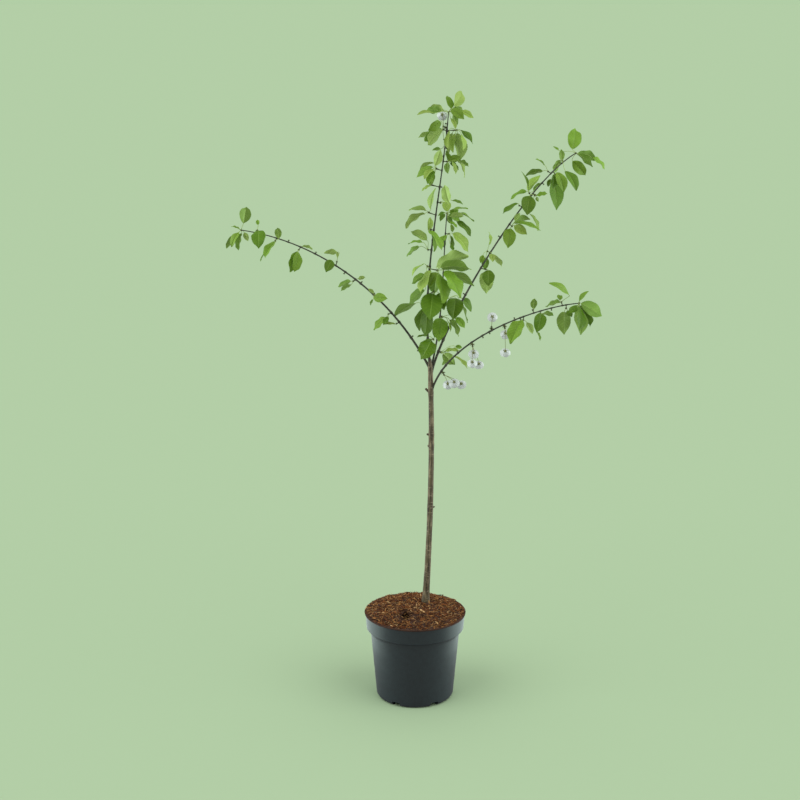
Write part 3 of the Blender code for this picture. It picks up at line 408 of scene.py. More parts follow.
def plain_blade(leaf, thickness, widen):
    """The blade as the frame has it, drawn out from a ball with four sides, to test for room."""
    shape = bmesh.new()
    rings = LEAF_RINGS if leaf.length > SMALL_LEAF else SMALL_LEAF_RINGS
    bmesh.ops.create_uvsphere(shape, u_segments=4, v_segments=rings, radius=1.0)
    for vert in shape.verts:
        share = (1.0 + vert.co.z) / 2
        ring = math.sqrt(max(1.0 - vert.co.z ** 2, 0.0))
        across, above = 0.0, 0.0
        if ring > 0.01:
            size = leaf_half_width(share)
            across = vert.co.x / ring * size * leaf.width / 2 * widen
            above = vert.co.y / ring * size * thickness / 2
        vert.co = leaf_point(leaf, share, across, above)
    return shape


def wand(start, end, radius):
    """A slim three-sided bar, used to test whether a stalk has room."""
    shape = bmesh.new()
    way = end - start
    place = Matrix.Translation((start + end) / 2) @ way.to_track_quat("Z", "Y").to_matrix().to_4x4()
    bmesh.ops.create_cone(shape, cap_ends=True, segments=3, radius1=radius, radius2=radius,
                          depth=way.length, matrix=place)
    return shape


def tree_of(shape):
    tree = BVHTree.FromBMesh(shape)
    shape.free()
    return tree


def tree_of_node(name):
    shape = bmesh.new()
    shape.from_mesh(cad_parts[name].data)
    return tree_of(shape)


def tree_of_room(points, radii):
    """A limb with a margin round it, as a chain of tapered bars."""
    shape = bmesh.new()
    for here, there, low, high in zip(points, points[1:], radii, radii[1:]):
        way = there - here
        place = Matrix.Translation((here + there) / 2) @ way.to_track_quat("Z", "Y").to_matrix().to_4x4()
        bmesh.ops.create_cone(shape, cap_ends=True, segments=8, radius1=low, radius2=high,
                              depth=way.length, matrix=place)
    return tree_of(shape)


def hits(tree, others):
    return any(tree.overlap(other) for other in others)


class Crown:
    """Finds where each leaf stands, by the frame's own rule and in the frame's own order."""

    def __init__(self):
        self.solid = []
        self.own = []
        self.number = 0

    def find_room(self, hub, row, toward):
        self.number += 1
        rng = random.Random(SEED * 1000 + self.number)
        for attempt in range(TRIES):
            leaf = leaf_pose(hub, row, toward, rng, 0.4 * attempt)
            room = tree_of(plain_blade(leaf, SPARE_THICKNESS, SPARE_WIDTH))
            start = hub.lerp(leaf.base, 0.45)
            stalk = tree_of(wand(start, leaf.base, STALK_ROOT_RADIUS + 2 * CLEAR))
            others = self.solid + self.own
            if hits(room, others) or hits(stalk, others):
                continue
            self.own += [room, stalk]
            return leaf
        return None

    def close_mass(self):
        self.solid += self.own
        self.own = []


def spur_points(line, along, heading, length, toward):
    """A spur stands square on its limb and then turns to its own heading."""
    point, way, radius = line.at(along)
    reach = seen_way(heading) * length + TOWARD * toward
    square = (reach - way * reach.dot(way)).normalized()
    foot = point + square * (radius + CLEAR)
    knee = foot + square * KNEE
    return [foot, knee, knee + reach * MM]


Flower = namedtuple("Flower", "hub heart axis spin radius depth")


def find_flower(hub, heading, stalk_length, number):
    rng = random.Random(SEED * 7000 + number)
    seen = seen_way(heading)
    depth = TOWARD * (0.30 * (number % 3 - 1) + rng.uniform(-0.1, 0.1))
    heart = hub + (seen + depth) * (stalk_length * MM)
    axis = (seen * 0.15 + Vector((0.0, 0.0, -0.5)) - TOWARD * rng.uniform(0.75, 1.15)).normalized()
    spin = rng.uniform(0.0, math.tau)
    radius = PETAL_LENGTH * rng.uniform(0.94, 1.04)
    return Flower(hub, heart, axis, spin, radius, radius * rng.uniform(0.35, 0.6))


def room_of_flower(flower):
    """The flower as the frame has it, a little larger, to keep leaves out of it."""
    radius, depth = flower.radius + MM, flower.depth + MM
    shape = bmesh.new()
    turn = flower.axis.to_track_quat("Z", "Y").to_matrix().to_4x4()
    place = Matrix.Translation(flower.heart + flower.axis * (depth / 2)) @ turn
    bmesh.ops.create_cone(shape, cap_ends=True, cap_tris=True, segments=2 * PETALS,
                          radius1=CALYX_RADIUS, radius2=radius, depth=depth,
                          matrix=place @ Matrix.Rotation(flower.spin, 4, "Z"))
    return tree_of(shape)


# Shapes

PLANT = []


def smooth_step(low, high, value):
    share = min(max((value - low) / (high - low), 0.0), 1.0)
    return share * share * (3.0 - 2.0 * share)


class Piece:
    """One visible piece in the making: a mesh, the finishes of its faces, and a place for each point.

    The place is what a finish reads instead of a picture: on a leaf its share of the length, its
    share across and the leaf's own number, and on wood the point as it would be on a straight rod.
    """

    def __init__(self, name, finishes):
        self.name = name
        self.finishes = finishes
        self.shape = bmesh.new()
        self.places = self.shape.verts.layers.float_vector.new("place")

    def point(self, spot, place):
        vert = self.shape.verts.new(spot)
        vert[self.places] = place
        return vert

    def face(self, verts, finish):
        face = self.shape.faces.new(verts)
        face.material_index = finish
        face.smooth = True

    def loft(self, rings, places, finish=0, start=None, end=None, round_finishes=None):
        """Skins a chain of closed rings. A start or an end point closes the skin there."""
        rows = [[self.point(*pair) for pair in zip(ring, marks)] for ring, marks in zip(rings, places)]
        count = len(rows[0])
        for here, there in zip(rows, rows[1:]):
            for number in range(count):
                after = (number + 1) % count
                own = round_finishes[number] if round_finishes else finish
                self.face((here[number], here[after], there[after], there[number]), own)
        for row, tip in ((rows[0], start), (rows[-1], end)):
            if tip is None:
                continue
            tip = self.point(*tip)
            for number in range(count):
                own = round_finishes[number] if round_finishes else finish
                self.face((row[number], row[(number + 1) % count], tip), own)

    def rod(self, points, radii, sides, finish=0, relief=None, flat=1.0, side=None):
        """A tapered rod through a chain of points. relief moves a point of its skin in or out."""
        rings, places = [], []
        side = Vector((0.31, 0.87, 0.38)) if side is None else side
        run = 0.0
        last = len(points) - 1
        for number, (point, radius) in enumerate(zip(points, radii)):
            way = (points[min(number + 1, last)] - points[max(number - 1, 0)]).normalized()
            side = (side - way * side.dot(way)).normalized()
            across = way.cross(side)
            run += (point - points[max(number - 1, 0)]).length
            ring, marks = [], []
            for corner in range(sides):
                turn = math.tau * corner / sides
                out = side * math.cos(turn) + across * (math.sin(turn) * flat)
                size = radius if relief is None else relief(point, out, radius, run)
                ring.append(point + out * size)
                marks.append(Vector((math.cos(turn) * radius, math.sin(turn) * radius, run)))
            rings.append(ring)
            places.append(marks)
        self.loft(rings, places, finish, (points[0], places[0][0]), (points[-1], places[-1][0]))

    def finish(self, *nodes, slot, sharp=60.0):
        """Ends the piece: faces turned outwards, finishes given, and the frame's parts that it stands for hidden."""
        bmesh.ops.recalc_face_normals(self.shape, faces=self.shape.faces)
        mesh = bpy.data.meshes.new(self.name)
        self.shape.to_mesh(mesh)
        self.shape.free()
        for material in self.finishes:
            mesh.materials.append(material)
        mesh.set_sharp_from_angle(angle=math.radians(sharp))
        item = bpy.data.objects.new(self.name, mesh)
        bpy.context.scene.collection.objects.link(item)
        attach(item, "root")
        if nodes:
            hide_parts(*nodes)
        PLANT.append(item)
        return item


# Finishes


def shade(red, green, blue):
    """A colour as a screen gives it, in linear light."""
    def linear(value):
        value /= 255.0
        return value / 12.92 if value <= 0.04045 else ((value + 0.055) / 1.055) ** 2.4
    return (linear(red), linear(green), linear(blue), 1.0)


def node(tree, kind, inputs=(), **settings):
    """Adds a node. Its inputs take values or other nodes' outputs."""
    made = tree.nodes.new(f"ShaderNode{kind}")
    for key, value in settings.items():
        setattr(made, key, value)
    for key, value in dict(inputs).items():
        if isinstance(value, bpy.types.NodeSocket):
            tree.links.new(value, made.inputs[key])
        else:
            made.inputs[key].default_value = value
    return made


def new_group(name, inputs, outputs):
    group = bpy.data.node_groups.new(name, "ShaderNodeTree")
    for label, kind, value in inputs:
        socket = group.interface.new_socket(label, in_out="INPUT", socket_type=f"NodeSocket{kind}")
        socket.default_value = value
    for label, kind in outputs:
        group.interface.new_socket(label, in_out="OUTPUT", socket_type=f"NodeSocket{kind}")
    return group, group.nodes.new("NodeGroupInput"), group.nodes.new("NodeGroupOutput")


def mixed(tree, share, first, second, kind="MIX"):
    """The two colours blended by a share."""
    blend = node(tree, "Mix", data_type="RGBA", blend_type=kind)
    for key, value in ((0, share), (6, first), (7, second)):
        if isinstance(value, bpy.types.NodeSocket):
            tree.links.new(value, blend.inputs[key])
        else:
            blend.inputs[key].default_value = value
    return blend.outputs[2]


def ranged(tree, value, low, high, out_low=0.0, out_high=1.0):
    return node(tree, "MapRange", {0: value, 1: low, 2: high, 3: out_low, 4: out_high}).outputs[0]


def maths(tree, operation, first, second=0.0):
    return node(tree, "Math", {0: first, 1: second}, operation=operation).outputs[0]


def place_of(tree):
    return node(tree, "Attribute", attribute_name="place", attribute_type="GEOMETRY").outputs["Vector"]


def leaf_group():
    """The blade's side veins and its mottling, worked out from the point's place."""
    group, given, out = new_group(
        "leaf_blade",
        (("Colour", "Color", (0.1, 0.3, 0.03, 1.0)), ("Vein Colour", "Color", (0.3, 0.5, 0.1, 1.0)),
         ("Vein Strength", "Float", 0.5), ("Mottle", "Float", 0.2)),
        (("Colour", "Color"), ("Height", "Float"), ("Roughness", "Float")))
    parts = node(group, "SeparateXYZ", {0: place_of(group)})
    share, across, own = parts.outputs
    out_from_middle = maths(group, "ABSOLUTE", across)
    run = maths(group, "SUBTRACT", share, maths(group, "MULTIPLY", out_from_middle, VEIN_SLANT))
    phase = maths(group, "FRACT", maths(group, "MULTIPLY", run, VEINS))
    from_vein = maths(group, "ABSOLUTE", maths(group, "SUBTRACT", phase, 0.5))
    vein = ranged(group, from_vein, 0.40, 0.49)
    coords = node(group, "TexCoord").outputs["Object"]
    net = node(group, "TexVoronoi", {"Vector": coords, "Scale": 520.0}, feature="DISTANCE_TO_EDGE")
    mesh_of_veins = ranged(group, net.outputs["Distance"], 0.0, 0.10, 1.0, 0.0)
    blotch = node(group, "TexNoise", {"Vector": coords, "Scale": 70.0, "Detail": 3.0}).outputs["Fac"]
    tint = ranged(group, blotch, 0.30, 0.70, 0.0, 1.0)
    dark = mixed(group, 1.0, given.outputs["Colour"], (0.62, 0.74, 0.45, 1.0), "MULTIPLY")
    body = mixed(group, maths(group, "MULTIPLY", tint, given.outputs["Mottle"]), given.outputs["Colour"], dark)
    hue = node(group, "HueSaturation", {"Color": body, "Hue": ranged(group, own, 0.0, 1.0, 0.493, 0.502),
                                        "Value": ranged(group, own, 0.0, 1.0, 0.86, 1.12)}).outputs[0]
    fine = maths(group, "MULTIPLY", mesh_of_veins, 0.10)
    seen = maths(group, "ADD", maths(group, "MULTIPLY", vein, given.outputs["Vein Strength"]), fine)
    coloured = mixed(group, seen, hue, given.outputs["Vein Colour"])
    height = maths(group, "SUBTRACT", maths(group, "MULTIPLY", vein, -0.6),
                   maths(group, "MULTIPLY", mesh_of_veins, 0.25))
    rough = ranged(group, blotch, 0.2, 0.8, 0.48, 0.62)
    group.links.new(coloured, out.inputs["Colour"])
    group.links.new(height, out.inputs["Height"])
    group.links.new(rough, out.inputs["Roughness"])
    return group


def bark_group():
    """Grain that runs along the wood, with pale flakes and the short cross-marks of cherry bark."""
    group, given, out = new_group(
        "cherry_bark",
        (("Deep", "Color", (0.02, 0.02, 0.01, 1.0)), ("Body", "Color", (0.1, 0.08, 0.05, 1.0)),
         ("Pale", "Color", (0.4, 0.35, 0.3, 1.0)), ("Pale Share", "Float", 0.3), ("Grain", "Float", 1.0)),
        (("Colour", "Color"), ("Height", "Float"), ("Roughness", "Float")))
    place = place_of(group)
    grown = node(group, "VectorMath", {0: place, "Scale": given.outputs["Grain"]}, operation="SCALE").outputs[0]
    long_way = node(group, "VectorMath", {0: grown, 1: (420.0, 420.0, 26.0)}, operation="MULTIPLY").outputs[0]
    cross_way = node(group, "VectorMath", {0: grown, 1: (95.0, 95.0, 520.0)}, operation="MULTIPLY").outputs[0]
    streak = node(group, "TexNoise", {"Vector": long_way, "Scale": 1.0, "Detail": 5.0}).outputs["Fac"]
    patch = node(group, "TexNoise", {"Vector": place, "Scale": 38.0, "Detail": 4.0}).outputs["Fac"]
    mark = node(group, "TexNoise", {"Vector": cross_way, "Scale": 1.0, "Detail": 1.0}).outputs["Fac"]
    body = mixed(group, ranged(group, streak, 0.36, 0.62), given.outputs["Deep"], given.outputs["Body"])
    flakes = maths(group, "MULTIPLY", ranged(group, patch, 0.47, 0.62), ranged(group, streak, 0.42, 0.56))
    flaked = mixed(group, maths(group, "MULTIPLY", flakes, given.outputs["Pale Share"]), body,
                   given.outputs["Pale"])
    marks = ranged(group, mark, 0.62, 0.70)
    coloured = mixed(group, maths(group, "MULTIPLY", marks, 0.55), flaked, given.outputs["Pale"])
    height = maths(group, "ADD", maths(group, "MULTIPLY", streak, 0.7), maths(group, "MULTIPLY", marks, 0.5))
    group.links.new(coloured, out.inputs["Colour"])
    group.links.new(height, out.inputs["Height"])
    group.links.new(ranged(group, flakes, 0.0, 1.0, 0.62, 0.85), out.inputs["Roughness"])
    return group


def mottle_group():
    """Coarse and fine mottling between three colours, with a matching height."""
    group, given, out = new_group(
        "mottle",
        (("Deep", "Color", (0.02, 0.02, 0.01, 1.0)), ("Body", "Color", (0.1, 0.08, 0.05, 1.0)),
         ("Pale", "Color", (0.4, 0.35, 0.3, 1.0)), ("Scale", "Float", 100.0)),
        (("Colour", "Color"), ("Height", "Float")))
    coords = node(group, "TexCoord").outputs["Object"]
    coarse = node(group, "TexNoise", {"Vector": coords, "Scale": given.outputs["Scale"], "Detail": 4.0})
    finer = maths(group, "MULTIPLY", given.outputs["Scale"], 4.3)
    fine = node(group, "TexNoise", {"Vector": coords, "Scale": finer, "Detail": 3.0})
    body = mixed(group, ranged(group, coarse.outputs["Fac"], 0.34, 0.58), given.outputs["Deep"],
                 given.outputs["Body"])
    coloured = mixed(group, ranged(group, fine.outputs["Fac"], 0.50, 0.72), body, given.outputs["Pale"])
    height = maths(group, "ADD", coarse.outputs["Fac"], maths(group, "MULTIPLY", fine.outputs["Fac"], 0.5))
    group.links.new(coloured, out.inputs["Colour"])
    group.links.new(height, out.inputs["Height"])
    return group


def new_finish(name, roughness, group=None, values=(), bump=0.0, bump_size=0.0005, **sockets):
    """A material round a Principled shader, coloured by a group or plainly."""
    material = bpy.data.materials.new(name)
    material.use_nodes = True
    tree = material.node_tree
    shader = tree.nodes["Principled BSDF"]
    shader.inputs["Roughness"].default_value = roughness
    for label, value in sockets.items():
        shader.inputs[label.replace("_", " ")].default_value = value
    if group is None:
        return material
    made = tree.nodes.new("ShaderNodeGroup")
    made.node_tree = group
    for label, value in dict(values).items():
        made.inputs[label].default_value = value
    tree.links.new(made.outputs["Colour"], shader.inputs["Base Color"])
    if "Roughness" in made.outputs:
        tree.links.new(made.outputs["Roughness"], shader.inputs["Roughness"])
    if bump:
        relief = node(tree, "Bump", {"Height": made.outputs["Height"], "Strength": bump, "Distance": bump_size})
        tree.links.new(relief.outputs["Normal"], shader.inputs["Normal"])
    return material


# Each tone is partly the leaf's own colour and partly painted light and shade, darker for leaves in shade and lighter
# for leaves in the light; the undersides and midribs follow the tone.
LEAF_TONES = {
    "d": (shade(77, 114, 5), shade(100, 138, 22)),
    "m": (shade(107, 146, 36), shade(136, 172, 68)),
    "l": (shade(136, 168, 68), shade(164, 192, 100)),
    "y": (shade(143, 172, 80), shade(166, 190, 106)),
}
LEAF_BACKS = (
    (shade(102, 142, 44), shade(126, 160, 68)),
    (shade(126, 166, 70), shade(150, 182, 96)),
    (shade(152, 186, 94), shade(178, 204, 124)),
    (shade(156, 186, 98), shade(178, 204, 124)),
)
MIDRIBS = (shade(100, 138, 30), shade(154, 186, 82))
LEAF_SHINE = 0.25


def leaf_finishes(group):
    made = []
    for letter, (colour, vein) in LEAF_TONES.items():
        values = {"Colour": colour, "Vein Colour": vein, "Vein Strength": 0.42, "Mottle": 0.55}
        made.append(new_finish(f"leaf_upper_{letter}", 0.55, group, values, 0.35, 0.0006,
                               Specular_IOR_Level=LEAF_SHINE))
    for number, (colour, vein) in enumerate(LEAF_BACKS):
        values = {"Colour": colour, "Vein Colour": vein, "Vein Strength": 0.5, "Mottle": 0.3}
        made.append(new_finish(f"leaf_underside_{number}", 0.62, group, values, 0.3, 0.0006,
                               Specular_IOR_Level=LEAF_SHINE))
    for number, colour in enumerate(MIDRIBS):
        made.append(new_finish(f"leaf_midrib_{number}", 0.5, group, {
            "Colour": colour, "Vein Colour": colour, "Vein Strength": 0.1, "Mottle": 0.2}))
    return made


# Leaves

LEAF_STATIONS = 36
LEAF_COLUMNS = (-1.0, -0.84, -0.64, -0.43, -0.22, -0.045, 0.0, 0.045, 0.22, 0.43, 0.64, 0.84, 1.0)
BLADE_THICKNESS = 0.38 * MM
VEINS = 8.0
VEIN_SLANT = 0.24
QUILT = 0.55 * MM
TOOTH = 0.09
UNDERSIDE = len(LEAF_TONES)
MIDRIB = UNDERSIDE + len(LEAF_BACKS)


def dressed_point(leaf, share, column, own, below):
    """A point of the finished blade: toothed, quilted between its veins and waved at its edge."""
    size = leaf_half_width(share) * leaf.width / 2
    size *= 1.0 - 0.42 * smooth_step(0.76, 1.0, share)
    size *= 1.0 - 0.10 * smooth_step(0.25, 0.0, share)
    across = column * size
    out = abs(column)
    run = (share - VEIN_SLANT * out) * VEINS
    full = min(size / (8.0 * MM), 1.0)
    above = QUILT * full * abs(math.sin(math.pi * (run + 0.5))) * (1.0 - out ** 4) * min(1.0, out * 6.0)
    above += own["wave"] * leaf.width * out * out * math.sin(math.tau * (own["waves"] * share + own["phase"])
                                                            + math.copysign(1.2, column))
    above -= 0.30 * abs(across) * out * math.tan(leaf.fold)
    if out < 0.01:
        above -= 0.25 * MM * full
    if below:
        above -= BLADE_THICKNESS * (1.0 - smooth_step(0.7, 1.0, out)) + 0.02 * MM
    across += own["sway"] * leaf.length * share * share
    return leaf_point(leaf, share, across, above)


def grow_blade(piece, leaf, tone, number):
    rng = random.Random(SEED * 31000 + number)
    own = {"wave": rng.uniform(0.02, 0.075), "waves": rng.uniform(1.4, 2.6), "phase": rng.random(),
           "sway": rng.uniform(-0.05, 0.05)}
    mark = rng.random()
    count = len(LEAF_COLUMNS)
    rings, places = [], []
    for station in range(1, LEAF_STATIONS):
        share = station / LEAF_STATIONS
        tooth = station % 2
        ring, marks = [], []
        for order in range(2 * count - 2):
            below = order >= count
            column = LEAF_COLUMNS[order if not below else 2 * count - 2 - order]
            there = share
            if abs(column) == 1.0:
                column *= 1.0 + TOOTH / 2 if tooth else 1.0 - TOOTH / 2
                there += 0.35 / LEAF_STATIONS if tooth else 0.0
            spot = dressed_point(leaf, there, column, own, below)
            ring.append(spot)
            marks.append(Vector((share, column, mark)))
        rings.append(ring)
        places.append(marks)
    middle = count // 2
    upper = list(LEAF_TONES).index(tone)
    finishes = [upper] * (count - 1) + [UNDERSIDE + upper] * (count - 1)
    finishes[middle - 1] = finishes[middle] = MIDRIB + (tone in "ly")
    start = (leaf_point(leaf, 0.0, 0.0, -0.2 * MM), Vector((0.0, 0.0, mark)))
    tip = leaf_point(leaf, 1.0, own["sway"] * leaf.length, 0.0)
    piece.loft(rings, places, start=start, end=(tip, Vector((1.0, 0.0, mark))), round_finishes=finishes)
    return own


def stalk_curve(hub, leaf):
    """The stalk leaves the spur its own way and turns into the blade's."""
    reach = (leaf.base - hub).length
    way = (leaf.base - hub).normalized()
    lift = Vector((0.0, 0.0, 0.10 * reach))
    handles = (hub, hub + way * (0.45 * reach) + lift, leaf.base - leaf.along * (0.30 * reach) + lift * 0.4,
               leaf_point(leaf, 0.0, 0.0, -0.2 * MM))
    return [bezier(handles, number / 9) for number in range(10)]


def grow_stalk(piece, hub, leaf, own):
    points = stalk_curve(hub, leaf)
    radii = [0.85 * MM, 0.72 * MM] + [0.60 * MM] * 6 + [0.66 * MM, 0.70 * MM]
    for number in range(1, 12):
        share = 0.075 * number
        sway = own["sway"] * leaf.length * share * share
        points.append(leaf_point(leaf, share, sway, -BLADE_THICKNESS - 0.22 * MM))
        radii.append((0.62 - 0.46 * number / 11) * MM)
    piece.rod(points, radii, 7)


def grow_leaf(crown, blades, stalks, hub, row, toward, tone):
    """One leaf with its stalk, where the rule finds room for it."""
    leaf = crown.find_room(hub, row, toward)
    if leaf is not None:
        own = grow_blade(blades, leaf, tone, crown.number)
        grow_stalk(stalks, hub, leaf, own)


def grow_scales(piece, hub, way, rng, count, size, finish):
    """The papery bud scales that stay round a spur's end like a small star."""
    side = way.orthogonal().normalized()
    for number in range(count):
        turn = Matrix.Rotation(math.tau * (number + rng.uniform(-0.3, 0.3)) / count, 3, way)
        out = turn @ side
        length = size * rng.uniform(0.7, 1.25)
        start = hub + out * (1.2 * MM) - way * (0.4 * MM)
        middle = start + (out * 0.75 + way * 0.65).normalized() * (length * 0.5)
        tip = middle + (out + way * rng.uniform(-0.5, 0.3)).normalized() * (length * 0.5)
        ring_points = (start, start.lerp(middle, 0.6), middle, middle.lerp(tip, 0.55), tip)
        radii = [size * value for value in (0.16, 0.25, 0.24, 0.15, 0.02)]
        piece.rod(ring_points, radii, 6, finish, flat=0.28, side=way.cross(out))


def grow_spur(piece, points, rng):
    """A short shoot: ringed by old scars, and swollen where its leaves spring."""
    foot, knee, hub = points
    root = foot - (knee - foot).normalized() * (1.6 * MM)
    handles = (root, knee, knee, hub)
    steps = max(int((hub - root).length / (0.45 * MM)), 12)
    chain = [bezier(handles, number / steps) for number in range(steps + 1)]
    way = (hub - knee).normalized()
    chain += [hub + way * (0.7 * MM), hub + way * (1.5 * MM), hub + way * (2.1 * MM)]
    radii = []
    for number in range(steps + 1):
        share = number / steps
        ringed = 0.12 * MM * math.sin(number * 2.1) + 0.08 * MM * rng.uniform(-1.0, 1.0)
        radii.append(1.05 * MM + 0.95 * MM * math.exp(-share * 8.0) + 0.95 * MM * share ** 5 + ringed)
    radii += [1.95 * MM, 1.4 * MM, 0.5 * MM]
    piece.rod(chain, radii, 10)
    return way


# Wood


def grain_noise(spot, around, along):
    return noise.noise(Vector((spot.x * around, spot.y * around, spot.z * along)))


def trunk_relief(point, out, radius, run):
    spot = point + out * radius
    ridges = 0.42 * grain_noise(spot, 430.0, 26.0) + 0.16 * grain_noise(spot, 950.0, 210.0)
    swell = 0.55 * noise.noise(Vector((4.0, 7.0, run * 24.0)))
    lumps = 0.6 * noise.noise(spot * 60.0) * smooth_step(0.10, 0.0, run)
    cross = 0.30 * max(grain_noise(spot, 110.0, 620.0) - 0.30, 0.0)
    return radius + (ridges + swell + lumps + cross) * MM


def bough_relief(point, out, radius, run):
    spot = point + out * radius
    ridges = 0.15 * noise.noise(spot * 620.0) + 0.16 * noise.noise(spot * 210.0)
    return radius + ridges * MM * min(radius / (2.4 * MM), 1.0)


def trunk_skin(line):
    """The trunk from the mulch to its rounded head, where the boughs part."""
    rings = 380
    points, radii = [], []
    for number in range(rings + 1):
        along = number / rings
        point = line.smooth(along)
        if along < 0.03:
            point.x, point.y = line.points[0].x, line.points[0].y
            point = point.lerp(line.smooth(along), smooth_step(0.0, 0.03, along))
        radius = trunk_radius(along) - 0.25 * MM
        for height, _, _, foot, _ in KNOTS:
            gap = abs(point.z - height)
            radius += 0.16 * foot * MM * math.exp(-(gap / (9.0 * MM)) ** 2)
        radius -= (TRUNK_FORK_RADIUS - 4.2 * MM) * smooth_step(0.965, 1.0, along)
        points.append(point)
        radii.append(radius)
    points += [points[-1] + Vector((0.0, 0.0, step * MM)) for step in (0.6, 1.1)]
    radii += [3.0 * MM, 1.4 * MM]
    return points, radii


def grow_trunk(material, cut_wood):
    line = trunk_line()
    piece = Piece("trunk_bark", [material, cut_wood])
    points, radii = trunk_skin(line)
    piece.rod(points, radii, 40, relief=trunk_relief)
    for number, (height, heading, length, foot, end) in enumerate(KNOTS):
        rng = random.Random(SEED * 500 + number)
        along = (height - TRUNK_FOOT.z) / (TRUNK_FORK.z - TRUNK_FOOT.z)
        point, _, _ = line.at(along)
        tip = point + seen_way(heading) * (length * MM)
        steps = 22
        chain = [point.lerp(tip, k / steps) + Vector((0.0, 0.0, 1.2 * MM * (k / steps) ** 2))
                 for k in range(steps + 1)]
        sizes = [(foot + (end - foot) * (k / steps) ** 0.6 + rng.uniform(-0.12, 0.12)) * MM
                 for k in range(steps + 1)]
        chain += [chain[-1] + (tip - point).normalized() * (0.5 * MM)]
        sizes += [end * 0.75 * MM]
        piece.rod(chain, sizes, 16, relief=bough_relief)
        rim = [chain[-1], chain[-1] + (tip - point).normalized() * (0.35 * MM)]
        piece.rod(rim, [end * 0.72 * MM, end * 0.62 * MM], 14, finish=1)
    return piece.finish("trunk", slot="trunk_bark")


def grow_bough(name, line, plan, swellings, material):
    """A bough's skin, from inside the trunk to the bud at its tip, swollen at every spur."""
    rings = max(int(line.length / (1.9 * MM)), 60)
    points, radii = [], []
    for number in range(rings + 1):
        along = number / rings
        point = line.smooth(along)
        radius = line.radius_at(along)
        run = along * line.length
        radius += 1.5 * MM * math.exp(-run / (9.0 * MM))
        for place in swellings:
            gap = run - place * line.length
            radius += 0.42 * radius * math.exp(-(gap / (3.4 * MM)) ** 2)
        points.append(point)
        radii.append(radius)
    way = (points[-1] - points[-2]).normalized()
    points += [points[-1] + way * (step * MM) for step in (0.8, 1.6, 2.2)]
    radii += [line.radii[-1] * scale for scale in (1.25, 0.9, 0.35)]
    piece = Piece(f"bark_{name}", [material])
    piece.rod(points, radii, 16, relief=bough_relief)
    return piece.finish(name, slot="bough_bark")


# Blossom

PETAL_ROWS = 9
PETAL_COLUMNS = (-1.0, -0.66, -0.33, 0.0, 0.33, 0.66, 1.0)
PETAL_SHEET = 0.22 * MM
STAMENS = 16


def petal_point(flower, base_turn, share, column, lift, rng_wave):
    """A point of one petal, in the bowl that the frame's flower fills."""
    reach = 2.0 * MM + (flower.radius - 2.0 * MM) * share
    width = 0.60 * flower.radius * math.sin(math.pi * min(share, 0.985) ** 1.25) ** 0.62
    notch = 0.10 * flower.radius * (1.0 - abs(column)) ** 2 * smooth_step(0.86, 1.0, share)
    reach -= notch
    side = column * width
    depth = flower.depth * share ** 1.5 + lift + 1.1 * MM * column * column * math.sin(math.pi * share)
    depth += rng_wave * MM * math.sin(math.tau * share + column * 2.0)
    turned_out = base_turn @ Vector((reach, side, depth))
    return turned_out


def grow_petals(piece, flower, number):
    rng = random.Random(SEED * 9100 + number)
    turn = flower.axis.to_track_quat("Z", "Y").to_matrix().to_4x4()
    place = Matrix.Translation(flower.heart) @ turn
    count = len(PETAL_COLUMNS)
    for petal in range(PETALS):
        own_turn = flower.spin + math.tau * petal / PETALS + rng.uniform(-0.06, 0.06)
        base_turn = place @ Matrix.Rotation(own_turn, 4, "Z")
        wave = rng.uniform(-0.5, 0.5)
        over = (petal % 2) * 0.5 * MM
        mark = rng.random()
        rings, marks = [], []
        for row in range(PETAL_ROWS + 1):
            share = 0.02 + 0.98 * row / PETAL_ROWS
            ring, ring_marks = [], []
            for order in range(2 * count - 2):
                below = order >= count
                column = PETAL_COLUMNS[order if not below else 2 * count - 2 - order]
                lift = over - (PETAL_SHEET if below else 0.0)
                ring.append(petal_point(flower, base_turn, share, column, lift, wave))
                ring_marks.append(Vector((share, column, mark)))
            rings.append(ring)
            marks.append(ring_marks)
        start = (base_turn @ Vector((1.6 * MM, 0.0, 0.0)), Vector((0.0, 0.0, mark)))
        end = (petal_point(flower, base_turn, 1.0, 0.0, over - PETAL_SHEET / 2, wave), Vector((1.0, 0.0, mark)))
        piece.loft(rings, marks, start=start, end=end)


